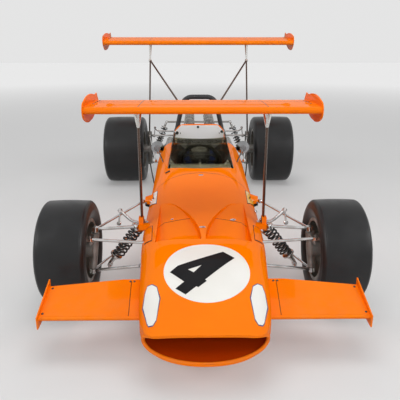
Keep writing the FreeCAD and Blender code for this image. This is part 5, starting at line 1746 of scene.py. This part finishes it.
# %% Harness
strap_across = 0.112
strap_start = seat_high.z - 0.035
strap_end = buckle_height + 0.02
strap_end_across = 0.022
strap_stops = 5
lap_start_across = 0.172
lap_run = 0.15
lap_drop = 0.02
lap_stops = 4
slides = []
for label, side in side_names:
    path = [(side * strap_across, seat_high.y - 0.01, seat_high.z + 0.006)]
    path.append((side * strap_across, seat_low.y + 0.03, seat_high.z + 0.004))
    for stop in range(strap_stops + 1):
        share = stop / strap_stops
        x = side * (strap_across * (1 - share) + strap_end_across * share)
        z = strap_start - (strap_start - strap_end) * share
        path.append((x, pad_front(x, z) - webbing_lift, z))
    belt = strap("shoulder_strap_" + label, path, (webbing_width, 0, 0))
    finished(belt, "chassis", blue_webbing, soft_angle)
    slides.append(slide(Vector(path[3]) + forwards * 0.002, webbing_width * 1.24, 0.034))
    lap = []
    for stop in range(lap_stops + 1):
        x = side * (lap_start_across - lap_run * stop / lap_stops)
        z = buckle_height - lap_drop * (1 - stop / lap_stops)
        lap.append((x, pad_front(x, z) - webbing_lift, z))
    belt = strap("lap_strap_" + label, lap, (0, 0, webbing_width * 0.9))
    finished(belt, "chassis", blue_webbing, soft_angle)
finished(joined("harness_slides", slides), "chassis", bright_metal)
buckle_profile = [
    (-0.004, 0),
    (-0.004, 0.03),
    (0.004, 0.031),
    (0.007, 0.029),
    (0.008, 0.017),
    (0.014, 0.015),
    (0.0155, 0.012),
    (0.0155, 0),
]
buckle_middle = Vector((0, pad_front(0, buckle_height) - 2 * webbing_lift, buckle_height))
buckle = turned("harness_buckle", buckle_profile, buckle_middle, forwards, 36)
bevelled(buckle, 0.0006, 2)
finished(buckle, "chassis", turned_alloy)
print("a lap strap spans", spans(belt), "and the buckle", spans(buckle))

# %% [markdown]
# The dials face the driver, so they only show from above and behind. Each has a turned bezel, a black face
# with white marks and a needle, and a glass. A mark is a sliver of a plane, turned into its place round the
# dial, and each needle points its own way.

# %% Dials on the dash
dash_low, dash_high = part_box("dash_panel")
dial_places = [
    (-0.1, 0.034),
    (0.1, 0.034),
    (-0.178, 0.021),
    (0.178, 0.021),
    (-0.235, 0.017),
    (0.235, 0.017),
]
dial_height = (dash_low.z + dash_high.z) / 2 + 0.002
marks_per_dial = 11
mark_sweep = math.radians(250)
mark_depth = 0.0021
needle_lift = 0.0006
bezels = []
faces = []
marks = []
glasses = []


def mark(width, length, out, turn, middle):
    """A white sliver that lies on a dial at this distance out and this turn."""
    bpy.ops.mesh.primitive_plane_add(size=1)
    sliver = bpy.context.object
    sliver.name = "mark"
    place = Matrix.Translation(middle) @ Matrix.Rotation(turn, 4, "Y") @ Matrix.Translation((0, 0, out))
    flat = Matrix.Rotation(math.radians(-90), 4, "X") @ Matrix.Diagonal((width, length, 1, 1))
    sliver.data.transform(place @ flat)
    return sliver


for x, radius in dial_places:
    middle = Vector((x, dash_high.y, dial_height))
    bezel_profile = [
        (0.0, radius * 0.9),
        (0.0, radius),
        (0.0055, radius),
        (0.007, radius * 0.96),
        (0.0065, radius * 0.92),
        (0.004, radius * 0.9),
    ]
    bezels.append(turned("bezel", bezel_profile, middle, backwards, 40, closed=True))
    face_profile = [(0, radius * 0.91), (0.0018, radius * 0.91), (0.0018, 0)]
    faces.append(turned("dial", face_profile, middle, backwards, 32))
    glass_profile = [(0.0042, radius * 0.9), (0.0052, radius * 0.5), (0.0055, 0)]
    glasses.append(turned("glass", glass_profile, middle, backwards, 32))
    lifted = middle + backwards * mark_depth
    for number in range(marks_per_dial):
        turn = -mark_sweep / 2 + mark_sweep * number / (marks_per_dial - 1)
        marks.append(mark(radius * 0.045, radius * 0.16, radius * 0.74, turn, lifted))
    needle_turn = math.radians(-70 + 300 * x)
    needle_middle = lifted + backwards * needle_lift
    marks.append(mark(radius * 0.05, radius * 0.62, radius * 0.28, needle_turn, needle_middle))
finished(joined("dial_bezels", bezels), "chassis", bright_metal)
finished(joined("dial_faces", faces), "chassis", number_black)
finished(joined("dial_marks", marks), "chassis", white)
finished(joined("dial_glasses", glasses), "chassis", dial_glass, soft_angle)
print("dials:", len(dial_places), "marks:", len(marks))

# %% [markdown]
# The shells of the mirrors are in the CAD. The glass is a thin turned dish with a raised edge, set on the
# back of each shell, where the driver looks. It is found by looking forwards at the shell from behind.

# %% Mirror glasses
mirror_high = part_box("mirrors")[1]
mirror_radius = 0.048
glass_profile = [
    (0, 0),
    (0, 0.041),
    (0.0016, 0.041),
    (0.0022, 0.0395),
    (0.0012, 0.038),
    (0.0012, 0),
]
mirror_glasses = []
for side in (1, -1):
    mirror_middle = (side * (mirror_high.x - mirror_radius), mirror_high.z - mirror_radius)
    behind = (mirror_middle[0], mirror_high.y + 0.2, mirror_middle[1])
    place, normal = skin_towards(behind, forwards, ["mirrors"])
    mirror_glasses.append(turned("mirror_glass", glass_profile, place, backwards, 36))
finished(joined("mirror_glasses", mirror_glasses), "chassis", mirror_silver)
print("mirror glasses:", len(mirror_glasses))

# %% [markdown]
# In front of the white panel the cowl has a rubber edging: a bent pipe that follows the skin across the
# car. Across the foot of the panel lies a black plate, which is a plane drawn forwards and then inset.

# %% Edging of the cockpit and a black plate at the panel's foot
edging = []
edging_radius = 0.0045
edging_reach = 0.175
edging_stops = 8
edging_set_in = 0.006
for stop in range(edging_stops + 1):
    x = edging_reach * (2 * stop / edging_stops - 1)
    place, normal = skin_under(x, panel_low.y + edging_set_in, ["cockpit_cowl"])
    edging.append(place + Vector((0, -edging_set_in, edging_radius * 0.3)))
finished(bent_pipe("cockpit_edging", edging, edging_radius, 2), "chassis", lead_rubber, soft_angle)
foot_height = 0.036
foot_width = (panel_high.x - panel_low.x) * 0.93
foot_middle = Vector((0, panel_low.y - 0.0002, panel_low.z + foot_height / 2))
foot = upright_plate("headrest_foot", foot_middle, foot_width, foot_height)
bpy.ops.mesh.extrude_region_move(TRANSFORM_OT_translate={"value": forwards * plate_depth})
bpy.ops.mesh.inset(thickness=plate_depth)
close_up()
bevelled(foot, 0.001, 2)
finished(foot, "chassis", satin_black)
print("the foot spans", spans(foot))

# %% [markdown]
# The screen doesn't stop beside the driver: two low clear wings carry it back to the headrest. Each is one
# sheet between four corners, divided so that it can be bowed a little, and given its thickness by a
# solidify modifier.

# %% Clear wings behind the screen
screen_wing = [(0.231, 0.152, 0.548), (0.226, 0.409, 0.557), (0.212, 0.409, 0.684), (0.19, 0.152, 0.699)]
wing_bow = 0.008
sheet_thickness = 0.0025
screen_bead_radius = 0.0022
bead_stops = 4


def bowed(share):
    """How far a wing of the screen bows outwards at this share of its length."""
    return wing_bow * math.sin(math.pi * min(max(share, 0.0), 1.0))


wing = drawn_sheet("screen_wing_left", screen_wing, 7)
put_in_mesh()
for vertex in wing.data.vertices:
    share = (vertex.co.y - screen_wing[0][1]) / (screen_wing[1][1] - screen_wing[0][1])
    vertex.co.x += bowed(share)
thickened(wing, sheet_thickness)
bevelled(wing, 0.0006, 1)
top_edge = []
for stop in range(bead_stops + 1):
    share = stop / bead_stops
    place = Vector(screen_wing[3]).lerp(Vector(screen_wing[2]), share)
    top_edge.append(place + across * bowed(share))
bead = bent_pipe("screen_bead_left", top_edge, screen_bead_radius, 1)
both_sides(wing, "chassis", tinted_screen, tinted_screen)
both_sides(bead, "chassis", bright_metal, bright_metal, soft_angle)
print("a wing of the screen spans", spans(wing))

# %% [markdown]
# Inside the screen a thin white sheet closes the gap between the scuttle and the dash. Its front edge
# follows the foot of the screen and its back edge is straight. It is one face, drawn down by its thickness.

# %% Sheet between the scuttle and the dash
sheet_front = [(0.215, -0.382), (0.19, -0.397), (0.15, -0.416), (0.1, -0.426), (0.0, -0.437)]
sheet_front += [(-x, y) for x, y in reversed(sheet_front[:-1])]
sheet_back = [(-0.215, dash_low.y), (0.215, dash_low.y)]
sheet_slope = 0.035
sheet_outline = []
for x, y in sheet_front + sheet_back:
    sheet_outline.append((x, y, dash_high.z + 0.002 + (dash_low.y - y) * sheet_slope))
sheet = drawn_sheet("dash_sheet", sheet_outline)
bpy.ops.mesh.extrude_region_move(TRANSFORM_OT_translate={"value": (0, 0, -0.0015)})
close_up()
bevelled(sheet, 0.0004, 1)
finished(sheet, "chassis", panel_white)
print("dash sheet depth:", round(dash_low.y - sheet_front[4][1], 3))

# %% [markdown]
# The wings are thin alloy skins over ribs, so they show a seam along the span, one over each rib, and
# screws where the end plates are fixed. The struts are brown-black tubes with bright ends. One finish has
# both tones: it changes at a height, which is what a fitter does with a file and a pot of paint.


# %% A finish that changes at a height
def two_tone_effect():
    """One metal below the split and another above it, over the same fine grain."""
    tree, start, end = new_effect(
        "two_tone_metal",
        [
            ("Lower", "NodeSocketColor", (0.1, 0.08, 0.07, 1)),
            ("Upper", "NodeSocketColor", (0.6, 0.6, 0.6, 1)),
            ("Split", "NodeSocketFloat", 1.0),
            ("Smooth", "NodeSocketFloat", 0.15),
            ("Rough", "NodeSocketFloat", 0.32),
        ],
    )
    place = tree.nodes.new("ShaderNodeTexCoord").outputs["Object"]
    split = tree.nodes.new("ShaderNodeSeparateXYZ")
    tree.links.new(place, split.inputs["Vector"])
    above = add_math(tree, "GREATER_THAN", split.outputs["Z"], start.outputs["Split"])
    grain = add_noise(tree, place, 160.0, 3.0)
    colour = add_blend(tree, above, start.outputs["Lower"], start.outputs["Upper"])
    tree.links.new(colour, end.inputs["Colour"])
    shine = add_range(tree, grain, 0.3, 0.7, start.outputs["Smooth"], start.outputs["Rough"])
    tree.links.new(shine, end.inputs["Roughness"])
    tree.links.new(grain, end.inputs["Height"])
    return tree


two_tone = two_tone_effect()
brown_black = opaque(0.13, 0.085, 0.065)
plated = opaque(0.7, 0.69, 0.66)
for node, split_height in (("front_wing_struts", 0.962), ("rear_wing_struts", 1.21)):
    values = {"Lower": brown_black, "Upper": plated, "Split": split_height}
    wear(node, make_finish("finish_of_" + node, two_tone, values, metallic=0.9, bump=0.05))
    print(node, "turns bright at", split_height)

# %% Seams and screws of the wings
seam_parts = []
screw_stands = []
above_wings = 1.7
wing_seam_width = 0.0042
rib_seam_width = wing_seam_width * 0.7
rib_margin = 0.015
plate_gap = 0.012
plate_screw_shares = (0.36, 0.5, 0.64, 0.78)
chord_steps = 80


def chord_at(node, x):
    """Where the skin of this solid starts and ends along the car, seen from above."""
    low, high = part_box(node)
    met = []
    for step in range(chord_steps + 1):
        y = low.y + (high.y - low.y) * step / chord_steps
        if frame["nodes"][node].ray_cast(Vector((x, y, look_from)), -upwards)[0]:
            met.append(y)
    return met[0], met[-1]


def seam_on(node, points, sideways, height):
    """A seam line pressed on this solid from above."""
    line = ribbon("seam", [(x, y, height) for x, y in points], sideways, 4)
    seam_parts.append(pressed_down(line, [node], seam_lift))


for node, rib_across, lead_share, plate_shares in (
    ("front_wing", 0.335, 0.62, (0.3, 0.62)),
    ("rear_wing", 0.47, 0.55, (0.25, 0.5, 0.75)),
):
    low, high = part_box(node)
    reach = high.x - plate_gap
    front, back = chord_at(node, rib_across)
    lead = front + (back - front) * lead_share
    seam_on(node, [(-reach, lead), (0, lead), (reach, lead)], (0, wing_seam_width, 0), above_wings)
    for side in (1, -1):
        rib = [(side * rib_across, front + rib_margin), (side * rib_across, back - rib_margin)]
        seam_on(node, rib, (rib_seam_width, 0, 0), above_wings)
        for share in plate_shares:
            along = low.y + (high.y - low.y) * share
            screw_stands.append(standing_on(*skin_beside(side, along, (low.z + high.z) / 2, [node])))
        for share in plate_screw_shares:
            along = low.y + (high.y - low.y) * share
            screw_stands.append(standing_on(*skin_under(side * (reach - 0.02), along, [node])))
print("wing seams:", len(seam_parts), "screws:", len(screw_stands))

# %% [markdown]
# The two low fins on the nose are made like the wings: a seam follows their root, and a few screws hold the
# end plate and the foot. All the seams are then one piece, and so are all the screws.

# %% Seams and screws of the nose fins
fin_seam = [(0.353, -1.502), (0.3495, -1.593), (0.3455, -1.673), (0.343, -1.735)]
fin_screws = [(0.735, -1.705), (0.728, -1.548), (0.36, -1.5035), (0.3405, -1.5035)]
for side in (1, -1):
    line = [(side * x, y) for x, y in fin_seam]
    seam_on("nose_fins", line, (side * rib_seam_width, 0, 0), sign_height)
    for x, y in fin_screws:
        screw_stands.append(standing_on(*skin_under(side * x, y, ["nose_fins", "nose_cowl"])))
finished(joined("panel_seams", seam_parts), "chassis", number_black)
small_screw_profile = [(0, 0), (0, 0.0058), (0.0012, 0.0056), (0.0022, 0.0035), (0.0026, 0)]
small_screw = turned("small_screw", small_screw_profile, origin, upwards, 14)
finished(set_out(small_screw, "panel_screws", screw_stands), "chassis", dark_steel)
print("seams:", len(seam_parts), "screws:", len(screw_stands))

# %% [markdown]
# A roll bar ties the left wheel to the right one: a bar across the car with an arm at each end, and a short
# link down to the suspension. The front one passes through the body, the rear one over the gearbox.

# %% Anti-roll bars and their links
bar_radius = 0.0085
front_bar = [
    (0.46, -1.085, 0.492),
    (0.40, -1.085, 0.428),
    (0.375, -1.085, 0.42),
    (0.29, -1.085, 0.42),
]
rear_bar = [
    (0.445, 1.3, 0.545),
    (0.425, 1.3, 0.515),
    (0.4, 1.3, 0.508),
    (0.0, 1.3, 0.508),
]
link_radius = 0.0045
joint_profile = [
    (-0.009, 0),
    (-0.009, 0.009),
    (-0.005, 0.0125),
    (0.005, 0.0125),
    (0.009, 0.009),
    (0.009, 0),
]
links = []
for label, arm, link_foot in (
    ("front", front_bar, (0.466, -1.11, 0.425)),
    ("rear", rear_bar, (0.455, 1.29, 0.46)),
):
    for side_name, side in side_names:
        points = [(side * x, y, z) for x, y, z in arm]
        bar = bent_pipe(label + "_roll_bar_" + side_name, points, bar_radius)
        finished(bar, "chassis", bright_metal, soft_angle)
        top = Vector(points[0])
        foot_place = Vector((side * link_foot[0], link_foot[1], link_foot[2]))
        links.append(rod("roll_link", foot_place, top, link_radius))
        for end in (top, foot_place):
            links.append(turned("roll_joint", joint_profile, end, backwards, 20))
finished(joined("roll_bar_links", links), "chassis", bright_metal)
print("parts of the links:", len(links))

# %% [markdown]
# The mouth of the nose ends in a rolled lip, thicker than the skin behind it. Its line is found by looking
# at the nose from the front, in all directions round the middle of the mouth, for the first place that
# isn't open.

# %% Rolled lip of the mouth
mouth_eye = Vector((0, -3.0, 0.2))
mouth_reach = 1.2
look_step = 0.001
widest_look = 0.32
lip_radius = 0.0085
lip_inset = 0.004
lip_clearance = 0.0005
lip_looks = 72
nose = frame["nodes"]["nose_cowl"]
lip_line = []
for look in range(lip_looks):
    turn = 2 * math.pi * look / lip_looks
    out = Vector((math.cos(turn), 0, math.sin(turn)))
    met = False
    reach = 0.02
    while not met and reach < widest_look:
        reach += look_step
        eye = mouth_eye + out * reach
        met, place, normal, face = nose.ray_cast(eye, backwards, distance=mouth_reach)
    lip_line.append(place + out * lip_inset + backwards * (lip_radius + lip_clearance))
finished(bent_pipe("mouth_lip", lip_line, lip_radius, 1, closed=True), "chassis", orange, soft_angle)
print("lip places:", len(lip_line))

# %% [markdown]
# Behind the mouth of the nose stands the radiator. Its core is a lattice of fins and tubes, which is a grid
# of faces that the wireframe modifier turns into fine bars.

# %% Radiator core
radiator_low, radiator_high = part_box("radiator")
core_margin = 0.03
core_columns = 64
core_rows = 22
bar_thickness = 0.0014
core_lift = 0.0008
core_drop = 0.008
core_width = (radiator_high.x - radiator_low.x) - 2 * core_margin
core_height = (radiator_high.z - radiator_low.z) - core_margin
core_level = (radiator_low.z + radiator_high.z) / 2 - core_drop
bpy.ops.mesh.primitive_grid_add(
    x_subdivisions=core_columns,
    y_subdivisions=core_rows,
    size=1,
    location=(0, radiator_low.y - core_lift, core_level),
    rotation=(math.radians(90), 0, 0),
)
core = bpy.context.object
core.name = "radiator_core"
core.scale = (core_width, core_height, 1)
bpy.ops.object.transform_apply(location=True, rotation=True, scale=True)
bars = core.modifiers.new("bars", "WIREFRAME")
bars.thickness = bar_thickness
apply_modifiers(core)
finished(core, "chassis", cast_alloy)
print("radiator core faces:", len(core.data.polygons))

# %% [markdown]
# The engine is fed by injection. A steel rail runs beside each row of trumpets, and a bent pipe goes from
# it to the foot of every trumpet. The covers over the camshafts are held by small nuts, placed by looking
# down at them.

# %% Fuel pipes
rail_across = 0.028
rail_height = 0.53
rail_radius = 0.006
rail_margin = 0.01
fuel_pipe_radius = 0.0028
pipes = []
for side in (1, -1):
    start = (side * rail_across, trumpet_low.y + rail_margin, rail_height)
    end = (side * rail_across, trumpet_high.y - rail_margin, rail_height)
    pipes.append(rod("fuel_rail", start, end, rail_radius))
    for index in range(trumpets_per_side):
        along = trumpet_low.y + dome_radius + index * trumpet_pitch
        route = [
            (side * rail_across, along, rail_height),
            (side * (rail_across + 0.012), along, rail_height + 0.016),
            (side * (dome_across - 0.05), along, rail_height + 0.01),
            (side * (dome_across - 0.022), along, rail_height - 0.006),
        ]
        pipes.append(bent_pipe("fuel_pipe", route, fuel_pipe_radius, 1))
finished(joined("fuel_pipes", pipes), "chassis", bright_metal, soft_angle)
print("rails and pipes:", len(pipes))

# %% Nuts on the engine, the gearbox and the strut ears
engine_low, engine_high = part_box("engine_block")
engine_length = engine_high.y - engine_low.y
cover_rows = (0.165, 0.285)
nuts_per_row = 6
box_low, box_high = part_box("gearbox")
box_length = box_high.y - box_low.y
box_row = 0.055
box_shares = (0.12, 0.3, 0.5, 0.7, 0.86)
ear_along = -0.8057
ear_height = 0.4405
nut_stands = []
for side in (1, -1):
    for row in cover_rows:
        for index in range(nuts_per_row):
            along = engine_low.y + engine_length * (index + 0.7) / (nuts_per_row + 0.4)
            nut_stands.append(standing_on(*skin_under(side * row, along, ["engine_block"])))
    for share in box_shares:
        along = box_low.y + box_length * share
        nut_stands.append(standing_on(*skin_under(side * box_row, along, ["gearbox"])))
    nut_stands.append(standing_on(*skin_beside(side, ear_along, ear_height, ["cockpit_cowl"])))
model_nut = upright_bolt("cover_nut", 0.0052, 0.006)
finished(set_out(model_nut, "cover_nuts", nut_stands), "chassis", bright_metal)
print("nuts:", len(nut_stands))

# %% [markdown]
# Each wheel has an air valve between two spokes. It stands on the inside of the barrel, which is found by
# looking outwards from the hub. There is also a small lever on the scuttle, beside the screen.

# %% Valves and the scuttle lever
valve_turn = math.radians(45)
valve_direction = Vector((0, math.cos(valve_turn), math.sin(valve_turn)))
valve_depth_share = 0.28
hub_clearance = 0.09
valve_profile = [
    (-0.002, 0),
    (-0.002, 0.006),
    (0.006, 0.006),
    (0.008, 0.0032),
    (0.03, 0.0032),
    (0.0305, 0.0042),
    (0.038, 0.0042),
    (0.039, 0.003),
    (0.039, 0),
]
for corner in corners:
    low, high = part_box(corner + "_rim")
    hub = (low + high) / 2
    outward = math.copysign(1, hub.x)
    eye = hub + across * outward * (high.x - low.x) * valve_depth_share
    place, normal = skin_towards(eye + valve_direction * hub_clearance, valve_direction, [corner + "_rim"])
    lean = (across * outward * 0.8 - valve_direction * 0.6).normalized()
    valve = turned(corner + "_valve", valve_profile, place, lean, 14)
    finished(valve, corner + "_wheel", lead_rubber)
lever_radius = 0.0045
lever_lift = 0.004
lever_ends = []
for x, y in ((-0.24, -0.465), (-0.212, -0.446)):
    place, normal = skin_under(x, y, ["cockpit_cowl"])
    lever_ends.append(Vector((x, y, place.z + lever_lift)))
finished(rod("scuttle_lever", *lever_ends, lever_radius), "chassis", satin_black)
print("valves:", len(corners))
